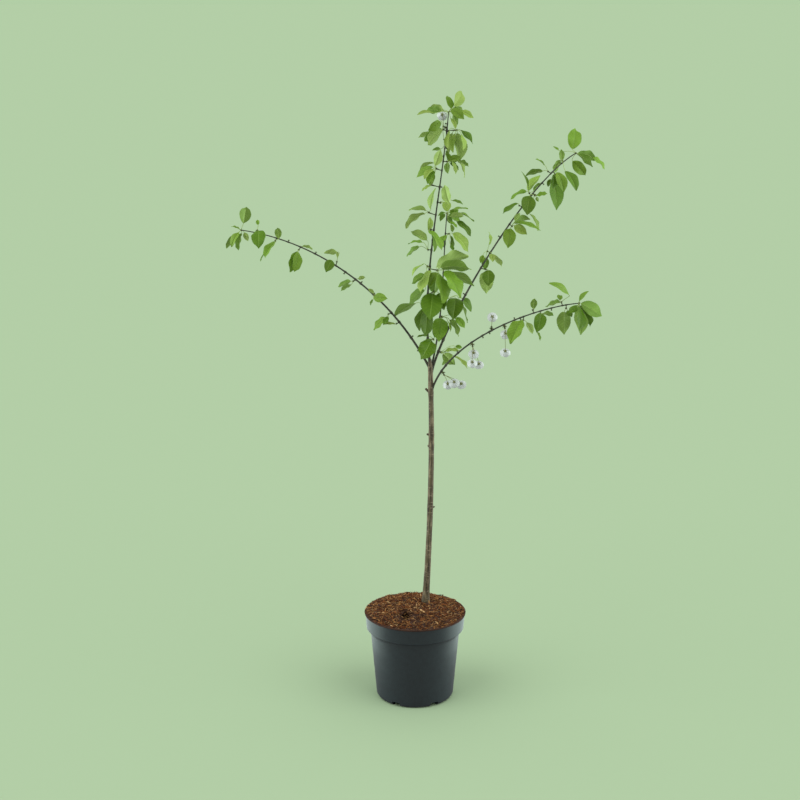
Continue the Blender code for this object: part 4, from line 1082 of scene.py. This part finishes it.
def grow_centre(green, gold, flower, number):
    """The calyx cup with its turned-back sepals, and the stamens inside."""
    rng = random.Random(SEED * 9300 + number)
    neck = flower.heart - flower.axis * CALYX_LENGTH
    handles = (flower.hub, flower.hub.lerp(neck, 0.4) + Vector((0.0, 0.0, 1.5 * MM)),
               neck - flower.axis * (3.0 * MM), neck)
    chain = [bezier(handles, k / 12) for k in range(13)]
    radii = [0.55 * MM] * 12 + [0.75 * MM]
    for step, radius in ((0.2, 1.3), (0.45, 1.8), (0.75, 1.9), (1.0, 2.3), (1.12, 1.6)):
        chain.append(neck.lerp(flower.heart, step))
        radii.append(radius * MM)
    green.rod(chain, radii, 9)
    side = flower.axis.orthogonal().normalized()
    for sepal in range(PETALS):
        turn = Matrix.Rotation(flower.spin + math.tau * (sepal + 0.5) / PETALS, 3, flower.axis)
        out = turn @ side
        root = flower.heart + out * (1.9 * MM)
        middle = root + out * (2.0 * MM) - flower.axis * (0.6 * MM)
        tip = middle + out * (1.3 * MM) - flower.axis * (2.2 * MM)
        radii = [1.1 * MM, 1.25 * MM, 0.95 * MM, 0.1 * MM]
        green.rod((root, root.lerp(middle, 0.5), middle, tip), radii, 6, flat=0.3, side=flower.axis.cross(out))
    for stamen in range(STAMENS):
        turn = Matrix.Rotation(math.tau * (stamen + rng.uniform(-0.3, 0.3)) / STAMENS, 3, flower.axis)
        lean = rng.uniform(0.25, 0.85)
        way = (flower.axis + turn @ side * lean).normalized()
        length = rng.uniform(4.5, 7.5) * MM
        root = flower.heart + turn @ side * (0.9 * MM)
        top = root + way * length
        gold.rod((root, root.lerp(top, 0.5) + way.orthogonal() * (0.3 * MM), top), [0.13 * MM] * 3, 4, finish=0)
        gold.rod([top + way * (step * MM) for step in (-0.35, -0.1, 0.3, 0.55)],
                 [0.12 * MM, 0.42 * MM, 0.40 * MM, 0.1 * MM], 6, finish=1)


# Mulch and pot

CHIPS = 3800
FIBRES = 900
OVER_LIP = 2.0 * MM
MULCH_FOOT = BAND_FOOT_HEIGHT + 0.006
CHIP_SHINE = 0.2
# The darkest chip tone; round the hollow it is laid as painted shade.
DARKEST_CHIP = 2
HOLLOW = Vector((-0.024, -0.050, 0.0))
HOLLOW_RADIUS = 0.0105


def mulch_height(radius):
    """The top of the mulch: level in the middle and falling to the lip."""
    slope = MULCH_RADIUS - 0.006 - MULCH_LEVEL_RADIUS
    share = min(max((radius - MULCH_LEVEL_RADIUS) / slope, 0.0), 1.0)
    edge = POT_HEIGHT + 0.0050
    return MULCH_TOP - (MULCH_TOP - edge) * share ** MULCH_FALL


def mulch_surface(x, y):
    """The height of the bed at a point, with its lumps and its one deep hollow; the hollow's darkness is painted
    shade.
    """
    radius = math.hypot(x, y)
    lumps = 2.2 * noise.noise(Vector((x * 55.0, y * 55.0, 0.4))) + 1.2 * noise.noise(Vector((x * 170, y * 170, 2)))
    hollow = 11.0 * math.exp(-((from_hollow(x, y) / HOLLOW_RADIUS) ** 2))
    return mulch_height(radius) + (lumps - hollow - 1.5) * MM


def from_hollow(x, y):
    return math.hypot(x - HOLLOW.x, (y - HOLLOW.y) * 0.45)


def grow_mulch(bed_material, hollow_painted_shade_material, chip_materials, fibre_material):
    bed = Piece("mulch_bed", [bed_material, hollow_painted_shade_material])
    rings, places = [], []
    inside = RIM_RADIUS - 3 * WALL
    for number in range(60):
        radius = MULCH_RADIUS * (60 - number) / 60
        ring = []
        for corner in range(120):
            turn = math.tau * corner / 120
            x, y = radius * math.cos(turn), radius * math.sin(turn)
            ring.append(Vector((x, y, mulch_surface(x, y))))
        rings.append(ring)
    foot = [[Vector((reach * math.cos(math.tau * k / 120), reach * math.sin(math.tau * k / 120), height))
             for k in range(120)]
            for reach, height in ((inside, MULCH_FOOT), (inside, POT_HEIGHT + 0.0004),
                                  (MULCH_RADIUS + 0.0006, POT_HEIGHT + 0.0006),
                                  (MULCH_RADIUS + 0.0012, POT_HEIGHT + 0.0030))]
    rings = foot + rings
    places = [[Vector(spot) for spot in ring] for ring in rings]
    bed.loft(rings, places, start=(Vector((0.0, 0.0, MULCH_FOOT)), Vector()),
             end=(Vector((0.0, 0.0, mulch_surface(0.0, 0.0))), Vector()))
    # Faces inside the hollow take the near-black second finish: painted shade in the hollow.
    for face in bed.shape.faces:
        middle = face.calc_center_median()
        if middle.z > POT_HEIGHT and from_hollow(middle.x, middle.y) < HOLLOW_RADIUS:
            face.material_index = 1
    bed.finish("mulch", slot="mulch")

    rng = random.Random(SEED * 77)
    chips = Piece("mulch_chips", chip_materials)
    for number in range(CHIPS):
        radius = (MULCH_RADIUS + 0.0015) * math.sqrt(rng.random())
        turn = rng.uniform(0.0, math.tau)
        x, y = radius * math.cos(turn), radius * math.sin(turn)
        # Chips keep clear of the trunk's foot, and of the hollow so that its painted-shade bed shows.
        if math.hypot(x - TRUNK_FOOT.x, y - TRUNK_FOOT.y) < 0.0125 or from_hollow(x, y) < 0.8 * HOLLOW_RADIUS:
            continue
        length = rng.uniform(4.0, 10.0) if rng.random() < 0.75 else rng.uniform(9.0, 19.0)
        width = length * rng.uniform(0.10, 0.24)
        heading = rng.uniform(0.0, math.tau)
        tilt = rng.gauss(0.0, 0.26)
        way = Vector((math.cos(heading) * math.cos(tilt), math.sin(heading) * math.cos(tilt), math.sin(tilt)))
        drop = max(radius - MULCH_RADIUS + 0.002, 0.0)
        middle = Vector((x, y, mulch_surface(x, y) + rng.uniform(0.2, 2.4) * MM - drop))
        reach = math.hypot((middle + way * length * MM / 2).x, (middle + way * length * MM / 2).y)
        back = math.hypot((middle - way * length * MM / 2).x, (middle - way * length * MM / 2).y)
        if max(reach, back) > MULCH_RADIUS + OVER_LIP * rng.random():
            continue
        bow = Vector((0.0, 0.0, rng.uniform(-0.12, 0.16) * length * MM))
        ends = [middle + way * (length * MM * step) + bow * (1.0 - 4.0 * step * step)
                for step in (-0.5, -0.3, 0.0, 0.3, 0.5)]
        sizes = [width * MM * 0.5 * value * rng.uniform(0.8, 1.2) for value in (0.35, 0.9, 1.1, 0.9, 0.3)]
        up = (Vector((0.0, 0.0, 1.0)) + Vector((rng.gauss(0, 0.5), rng.gauss(0, 0.5), 0.0))).normalized()
        tone = rng.choices(range(len(chip_materials)), (6, 5, 4, 2, 1))[0]
        # Round the hollow every chip takes the darkest tone: painted shade round the hollow.
        if from_hollow(x, y) < 1.5 * HOLLOW_RADIUS:
            tone = DARKEST_CHIP
        chips.rod(ends, sizes, 5, tone, flat=rng.uniform(0.3, 0.6), side=up.cross(way))
    chips.finish(slot="mulch", sharp=35.0)

    fibres = Piece("mulch_fibres", [fibre_material])
    for number in range(FIBRES):
        radius = (MULCH_RADIUS - 0.004) * math.sqrt(rng.random())
        turn = rng.uniform(0.0, math.tau)
        x, y = radius * math.cos(turn), radius * math.sin(turn)
        heading = rng.uniform(0.0, math.tau)
        length = rng.uniform(6.0, 20.0) * MM
        spot = Vector((x, y, mulch_surface(x, y) + rng.uniform(1.2, 3.2) * MM))
        chain = [spot]
        for step in range(6):
            heading += rng.gauss(0.0, 0.28)
            way = Vector((math.cos(heading), math.sin(heading), rng.gauss(0.0, 0.22)))
            chain.append(chain[-1] + way * (length / 6))
        if max(math.hypot(*point.xy) for point in chain) > MULCH_RADIUS:
            continue
        if min((point.xy - TRUNK_FOOT.xy).length for point in chain) < 0.014:
            continue
        thick = rng.uniform(0.14, 0.34) * MM
        fibres.rod(chain, [thick * value for value in (0.5, 1, 1.1, 1, 1, 0.8, 0.3)], 4)
    fibres.finish(slot="mulch")


POT_SIDES = 180
LIP_ROUND = 1.0 * MM


def pot_profile():
    """The wall from the middle of the floor inside, over the lip and down to the foot."""
    low_inside = FOOT_RADIUS + (NECK_RADIUS - FOOT_RADIUS) * 0.012 / NECK_HEIGHT - WALL
    points = [(0.030, 0.012), (low_inside, 0.012), (NECK_RADIUS - WALL, NECK_HEIGHT + 0.0016)]
    points += [(BAND_FOOT_RADIUS - WALL, BAND_FOOT_HEIGHT + 0.0016)]
    lip = (RIM_RADIUS - LIP_ROUND, POT_HEIGHT - LIP_ROUND)
    for number in range(9):
        turn = math.pi * (1.0 - number / 8)
        points.append((lip[0] + LIP_ROUND * math.cos(turn), lip[1] + LIP_ROUND * math.sin(turn)))
    for number in range(1, 12):
        share = number / 12
        height = POT_HEIGHT - LIP_ROUND - (POT_HEIGHT - LIP_ROUND - BAND_FOOT_HEIGHT - 0.0016) * share
        points.append((band_radius(height), height))
    points += [(band_radius(BAND_FOOT_HEIGHT + 0.0008), BAND_FOOT_HEIGHT + 0.0007),
               (BAND_FOOT_RADIUS - 0.0006, BAND_FOOT_HEIGHT), (BAND_FOOT_RADIUS - 0.0018, BAND_FOOT_HEIGHT - 0.0008),
               (NECK_RADIUS + 0.0060, NECK_HEIGHT + 0.0012), (NECK_RADIUS + 0.0015, NECK_HEIGHT - 0.0006),
               (NECK_RADIUS + 0.0002, NECK_HEIGHT - 0.0030)]
    for number in range(1, 24):
        height = (NECK_HEIGHT - 0.003) * (1.0 - number / 24) + FOOT_ROUND * number / 24
        points.append((wall_radius(height), height))
    for number in range(9):
        turn = -math.pi / 2 * number / 8
        points.append((FOOT_RADIUS - FOOT_ROUND + FOOT_ROUND * math.cos(turn),
                       FOOT_ROUND + FOOT_ROUND * math.sin(turn)))
    points += [(0.045, 0.0), (0.030, 0.0)]
    return points


def band_radius(height):
    share = (height - BAND_FOOT_HEIGHT) / (POT_HEIGHT - BAND_FOOT_HEIGHT)
    return BAND_FOOT_RADIUS + (RIM_RADIUS - BAND_FOOT_RADIUS) * share


def wall_radius(height):
    """The outer wall under the band, with the faint steps that a mould leaves."""
    share = (height - FOOT_ROUND) / (NECK_HEIGHT - FOOT_ROUND)
    low = FOOT_RADIUS
    return low + (NECK_RADIUS - low) * share + 0.00012 * math.sin(height * 160.0)


def grow_pot(material):
    piece = Piece("pot_shell", [material])
    rings, places = [], []
    for radius, height in pot_profile():
        ring = [Vector((radius * math.cos(math.tau * k / POT_SIDES), radius * math.sin(math.tau * k / POT_SIDES),
                        height)) for k in range(POT_SIDES)]
        rings.append(ring)
        places.append([Vector(spot) for spot in ring])
    piece.loft(rings, places, start=(Vector((0.0, 0.0, 0.012)), Vector()), end=(Vector(), Vector()))
    pot = piece.finish("pot", slot="pot", sharp=38.0)
    reach = FOOT_RADIUS - CHANNEL_INNER_RADIUS + 0.01
    cutters = []
    for number in range(CHANNELS):
        turn = math.tau * number / CHANNELS
        shape = bmesh.new()
        bmesh.ops.create_cube(shape, size=1.0)
        edges = [edge for edge in shape.edges
                 if abs(edge.verts[0].co.x - edge.verts[1].co.x) > 0.5
                 and edge.verts[0].co.z > 0.0]
        shape.transform(Matrix.Diagonal((reach, CHANNEL_WIDTH, CHANNEL_HEIGHT + 0.005, 1.0)))
        bmesh.ops.bevel(shape, geom=edges, offset=0.003, segments=4, affect="EDGES", profile=0.5)
        shape.transform(Matrix.Rotation(turn, 4, "Z") @ Matrix.Translation(
            (CHANNEL_INNER_RADIUS + reach / 2, 0.0, (CHANNEL_HEIGHT - 0.005) / 2)))
        mesh = bpy.data.meshes.new("channel")
        shape.to_mesh(mesh)
        shape.free()
        cutter = bpy.data.objects.new(f"channel_{number}", mesh)
        bpy.context.scene.collection.objects.link(cutter)
        cut = pot.modifiers.new("channel", "BOOLEAN")
        cut.operation = "DIFFERENCE"
        cut.solver = "EXACT"
        cut.object = cutter
        cutters.append(cutter)
    bpy.context.view_layer.update()
    graph = bpy.context.evaluated_depsgraph_get()
    mesh = bpy.data.meshes.new_from_object(pot.evaluated_get(graph))
    pot.modifiers.clear()
    pot.data = mesh
    mesh.set_sharp_from_angle(angle=math.radians(38.0))
    for cutter in cutters:
        bpy.data.objects.remove(cutter, do_unlink=True)
    return pot


# Studio


SKY_LIGHT = (0.66, 0.66, 0.64, 1.0)
SUN_POWER = 1.50
SUN_WIDTH = math.radians(50.0)
FLOOR_SEEN = (0.447, 0.608, 0.387, 1.0)
FLOOR_BOUNCE = (0.50, 0.50, 0.50, 1.0)


def side_box(name, place, target, size, power, colour, lit):
    """A soft box beside the plant. It lights the pieces named and leaves the floor even."""
    lamp = bpy.data.lights.new(name, "AREA")
    lamp.shape = "RECTANGLE"
    lamp.size, lamp.size_y = size
    lamp.energy = power
    lamp.color = colour
    item = bpy.data.objects.new(name, lamp)
    item.location = place
    item.rotation_euler = (Vector(target) - Vector(place)).to_track_quat("-Z", "Y").to_euler()
    item.light_linking.receiver_collection = lit
    item.visible_camera = False
    bpy.context.scene.collection.objects.link(item)


def seen_or_bounced(tree, bounced, seen):
    """One colour for the eye, and a plainer one for the light that is thrown on the plant."""
    return mixed(tree, node(tree, "LightPath").outputs["Is Camera Ray"], bounced, seen)


def set_studio(plant_pieces, pot):
    scene = bpy.context.scene
    scene.view_settings.view_transform = "Standard"
    world = bpy.data.worlds.new("studio")
    scene.world = world
    world.use_nodes = True
    tree = world.node_tree
    tree.links.new(seen_or_bounced(tree, SKY_LIGHT, shade(178, 206, 166)), tree.nodes["Background"].inputs["Color"])
    shape = bmesh.new()
    bmesh.ops.create_circle(shape, cap_ends=True, segments=96, radius=3000.0)
    mesh = bpy.data.meshes.new("studio_floor")
    shape.to_mesh(mesh)
    shape.free()
    paint = new_finish("floor_paint", 1.0, Specular_IOR_Level=0.0)
    tree = paint.node_tree
    tree.links.new(seen_or_bounced(tree, FLOOR_BOUNCE, FLOOR_SEEN), tree.nodes["Principled BSDF"].inputs["Base Color"])
    mesh.materials.append(paint)
    floor = bpy.data.objects.new("studio_floor", mesh)
    scene.collection.objects.link(floor)
    for name, way in (("left_sun", Vector((0.80, 0.45, -1.0))), ("right_sun", Vector((-0.72, 0.45, -1.0)))):
        sun = bpy.data.objects.new(name, bpy.data.lights.new(name, "SUN"))
        sun.data.energy = SUN_POWER / 2
        sun.data.angle = SUN_WIDTH
        sun.rotation_euler = way.to_track_quat("-Z", "Y").to_euler()
        scene.collection.objects.link(sun)
    plant = bpy.data.collections.new("plant")
    for piece in plant_pieces:
        plant.objects.link(piece)
    side_box("left_box", (-1.6, 0.1, 0.9), (0.0, 0.0, 0.6), (0.5, 2.2), 21.0, (0.92, 0.97, 1.0), plant)
    side_box("right_box", (1.6, 0.2, 0.9), (0.0, 0.0, 0.6), (0.5, 2.2), 21.0, (0.92, 0.97, 1.0), plant)
    pot_alone = bpy.data.collections.new("pot_alone")
    pot_alone.objects.link(pot)
    for name, side in (("left_gleam", -0.28), ("right_gleam", 0.28)):
        side_box(name, (side, 0.10, 0.155), (0.0, 0.0, 0.13), (0.5, 0.3), 0.9, (0.80, 1.0, 0.93), pot_alone)
    camera = bpy.data.objects.new("camera", bpy.data.cameras.new("camera"))
    camera.data.lens = LENS
    camera.data.clip_end = 10000.0
    camera.location = EYE
    camera.rotation_euler = (math.pi / 2 - LOOK_DOWN_CAMERA, 0.0, 0.0)
    scene.collection.objects.link(camera)
    scene.camera = camera


# The whole plant

REGIONS = {
    "bough_left": "left", "leader": "leader", "second_shoot": "second",
    "bough_upper_right": "upper_right", "bough_lower_right": "lower_right",
}
BARE_NODES = (
    ("bough_lower_right", 0.17, 60), ("bough_lower_right", 0.27, 100), ("bough_lower_right", 0.44, 260),
    ("bough_lower_right", 0.486, 250), ("bough_lower_right", 0.64, 95), ("bough_lower_right", 0.672, 285),
    ("bough_lower_right", 0.85, 250), ("bough_left", 0.098, 130), ("bough_left", 0.16, 60),
    ("bough_left", 0.46, 80), ("bough_left", 0.538, 250), ("bough_left", 0.68, 70), ("bough_left", 0.80, 80),
    ("bough_upper_right", 0.13, 150), ("bough_upper_right", 0.22, 330), ("bough_upper_right", 0.313, 140),
    ("bough_upper_right", 0.56, 130), ("bough_upper_right", 0.82, 320), ("leader", 0.17, 0),
    ("leader", 0.50, 20), ("leader", 0.71, 10), ("leader", 0.83, 165), ("leader", 0.862, 15),
    ("leader", 0.895, 195), ("leader", 0.925, 20), ("leader", 0.955, 170),
    ("second_shoot", 0.62, 350), ("second_shoot", 0.72, 170),
)


Mass = namedtuple("Mass", "name limb along points toward leaves tones flowers")


def main():
    veins, bark, mottle = leaf_group(), bark_group(), mottle_group()
    trunk_bark = new_finish("trunk_bark", 0.8, bark, {
        "Deep": shade(44, 38, 24), "Body": shade(100, 90, 60), "Pale": shade(162, 152, 122),
        "Pale Share": 0.55}, 0.7, 0.0012)
    bough_bark = new_finish("bough_bark", 0.7, bark, {
        "Deep": shade(22, 26, 16), "Body": shade(52, 58, 36), "Pale": shade(112, 112, 90),
        "Pale Share": 0.25, "Grain": 1.6}, 0.5, 0.0006)
    cut_wood = new_finish("cut_wood", 0.8, mottle, {
        "Deep": shade(70, 62, 54), "Body": shade(112, 100, 84), "Pale": shade(150, 138, 118), "Scale": 400.0})
    spur_wood = new_finish("spur_wood", 0.75, mottle, {
        "Deep": shade(30, 36, 18), "Body": shade(64, 74, 34), "Pale": shade(104, 110, 60), "Scale": 500.0}, 0.4)
    scale_skin = new_finish("bud_scales", 0.7, mottle, {
        "Deep": shade(46, 42, 20), "Body": shade(84, 90, 40), "Pale": shade(122, 130, 66), "Scale": 420.0}, 0.3)
    leaf_skins = leaf_finishes(veins)
    stalk_skin = new_finish("leaf_stalk", 0.5, mottle, {
        "Deep": shade(112, 134, 52), "Body": shade(146, 176, 84), "Pale": shade(164, 190, 104), "Scale": 160.0})

    lines = {name: limb_line(plan) for name, plan in LIMBS.items()}
    crown = Crown()
    crown.solid.append(tree_of_node("trunk"))
    for name, line in lines.items():
        crown.solid.append(tree_of_room(line.points, [radius + 1.0 * MM for radius in line.radii]))
    masses = []
    for plan in SPURS:
        points = spur_points(lines[plan.limb], plan.along, plan.heading, plan.stem, plan.toward)
        masses.append(Mass(f"foliage_{plan.name}", plan.limb, plan.along, points, plan.toward, plan.leaves,
                           plan.tones, ()))
    for name, limb, along, heading, length, toward, flowers in BLOSSOMS:
        points = spur_points(lines[limb], along, heading, length, toward)
        masses.append(Mass(name, limb, along, points, toward, (), "", flowers))
    for mass in masses:
        crown.solid.append(tree_of(wand(mass.points[1], mass.points[2], STEM_RADIUS + CLEAR)))
    for limb, leaves, tones in TIPS:
        masses.append(Mass(f"foliage_tip_{limb}", limb, None, lines[limb].points[-3:], 0, leaves, tones, ()))

    blades = {limb: Piece(f"leaves_{region}", leaf_skins) for limb, region in REGIONS.items()}
    stalks = Piece("leaf_stalks", [stalk_skin])
    spurs = Piece("spur_wood", [spur_wood, scale_skin])
    petals = Piece("blossom_petals", [new_finish("petal", 0.55, veins, {
        "Colour": shade(200, 210, 206), "Vein Colour": shade(188, 198, 192), "Vein Strength": 0.3,
        "Mottle": 0.12})])
    calyxes = Piece("blossom_calyxes", [new_finish("calyx", 0.6, mottle, {
        "Deep": shade(74, 66, 30), "Body": shade(112, 120, 52), "Pale": shade(150, 160, 84), "Scale": 500.0})])
    stamens = Piece("blossom_stamens", [
        new_finish("filament", 0.5, Base_Color=shade(232, 236, 222)),
        new_finish("anther", 0.7, mottle, {"Deep": shade(170, 128, 30), "Body": shade(214, 180, 60),
                                           "Pale": shade(236, 214, 120), "Scale": 900.0})])
    swellings = {limb: [] for limb in LIMBS}
    stands_for = {limb: [] for limb in LIMBS}
    flower_number = 0
    for order, (name, limb, along, points, toward, leaves, tones, flowers) in enumerate(masses):
        rng = random.Random(SEED * 2200 + order)
        hub = points[-1]
        if along is None:
            way = (points[2] - points[1]).normalized()
        else:
            way = grow_spur(spurs, points, rng)
            swellings[limb].append(along)
        grow_scales(spurs, hub, way, rng, 7, 3.3 * MM, 1)
        grow_scales(spurs, hub - way * (1.6 * MM), way, rng, 5, 2.7 * MM, 1)
        if flowers:
            grow_scales(spurs, points[1], way, rng, 9, 6.6 * MM, 1)
            grow_scales(spurs, points[0], way, rng, 8, 5.6 * MM, 1)
        for row, tone in zip(leaves, tones):
            grow_leaf(crown, blades[limb], stalks, hub, row, toward, tone)
        for heading, stalk_length in flowers:
            flower_number += 1
            flower = find_flower(hub, heading, stalk_length, flower_number)
            neck = flower.heart - flower.axis * CALYX_LENGTH
            crown.own += [room_of_flower(flower), tree_of(wand(hub.lerp(neck, 0.3), neck, 1.2 * MM))]
            grow_petals(petals, flower, flower_number)
            grow_centre(calyxes, stamens, flower, flower_number)
        crown.close_mass()
        if not flowers:
            stands_for[limb].append(name)
    by_name = {mass.name: mass for mass in masses}
    for name, row, tone in FILLERS:
        mass = by_name[f"foliage_{name}"]
        grow_leaf(crown, blades[mass.limb], stalks, mass.points[-1], row, mass.toward, tone)
        crown.close_mass()
    for order, (limb, along, heading) in enumerate(BARE_NODES):
        rng = random.Random(SEED * 2600 + order)
        points = spur_points(lines[limb], along, heading, 0.4, 0)
        way = grow_spur(spurs, points, rng)
        grow_scales(spurs, points[-1], way, rng, 5, 2.5 * MM, 1)
        swellings[limb].append(along)

    for limb, piece in blades.items():
        piece.finish(*stands_for[limb], slot="foliage", sharp=75.0)
    stalks.finish(slot="foliage")
    spurs.finish(slot="bough_bark")
    petals.finish(*[name for name, *_ in BLOSSOMS], slot="blossom", sharp=75.0)
    calyxes.finish(slot="blossom")
    stamens.finish(slot="blossom")
    grow_trunk(trunk_bark, cut_wood)
    for name, line in lines.items():
        grow_bough(name, line, LIMBS[name], swellings[name], bough_bark)
    grow_mulch(
        new_finish("mulch_ground", 0.95, mottle, {
            "Deep": shade(22, 12, 6), "Body": shade(56, 31, 14), "Pale": shade(96, 58, 29),
            "Scale": 260.0}, 0.8, 0.002),
        # Near-black finish for the hollow: painted shade.
        new_finish("mulch_hollow", 1.0, Base_Color=shade(20, 12, 7), Specular_IOR_Level=0.0),
        [new_finish(f"bark_chip_{number}", 0.85, mottle, {
            "Deep": deep, "Body": body, "Pale": pale, "Scale": 330.0}, 0.5, 0.0008,
                    Specular_IOR_Level=CHIP_SHINE)
         for number, (deep, body, pale) in enumerate((
             (shade(46, 24, 10), shade(86, 46, 18), shade(118, 70, 32)),
             (shade(66, 36, 14), shade(116, 66, 28), shade(146, 94, 46)),
             (shade(26, 14, 7), shade(50, 28, 12), shade(80, 48, 22)),
             (shade(100, 64, 28), shade(150, 104, 52), shade(184, 140, 86)),
             (shade(136, 102, 60), shade(192, 156, 104), shade(214, 186, 138))))],
        new_finish("mulch_fibre", 0.85, mottle, {
            "Deep": shade(128, 84, 40), "Body": shade(172, 126, 72), "Pale": shade(206, 170, 116),
            "Scale": 300.0}, Specular_IOR_Level=CHIP_SHINE))
    pot = grow_pot(new_finish("pot_plastic", 0.46, mottle, {
        "Deep": shade(18, 31, 32), "Body": shade(22, 36, 37), "Pale": shade(27, 42, 43), "Scale": 90.0},
        0.12, 0.0004))
    set_studio(PLANT, pot)


main()
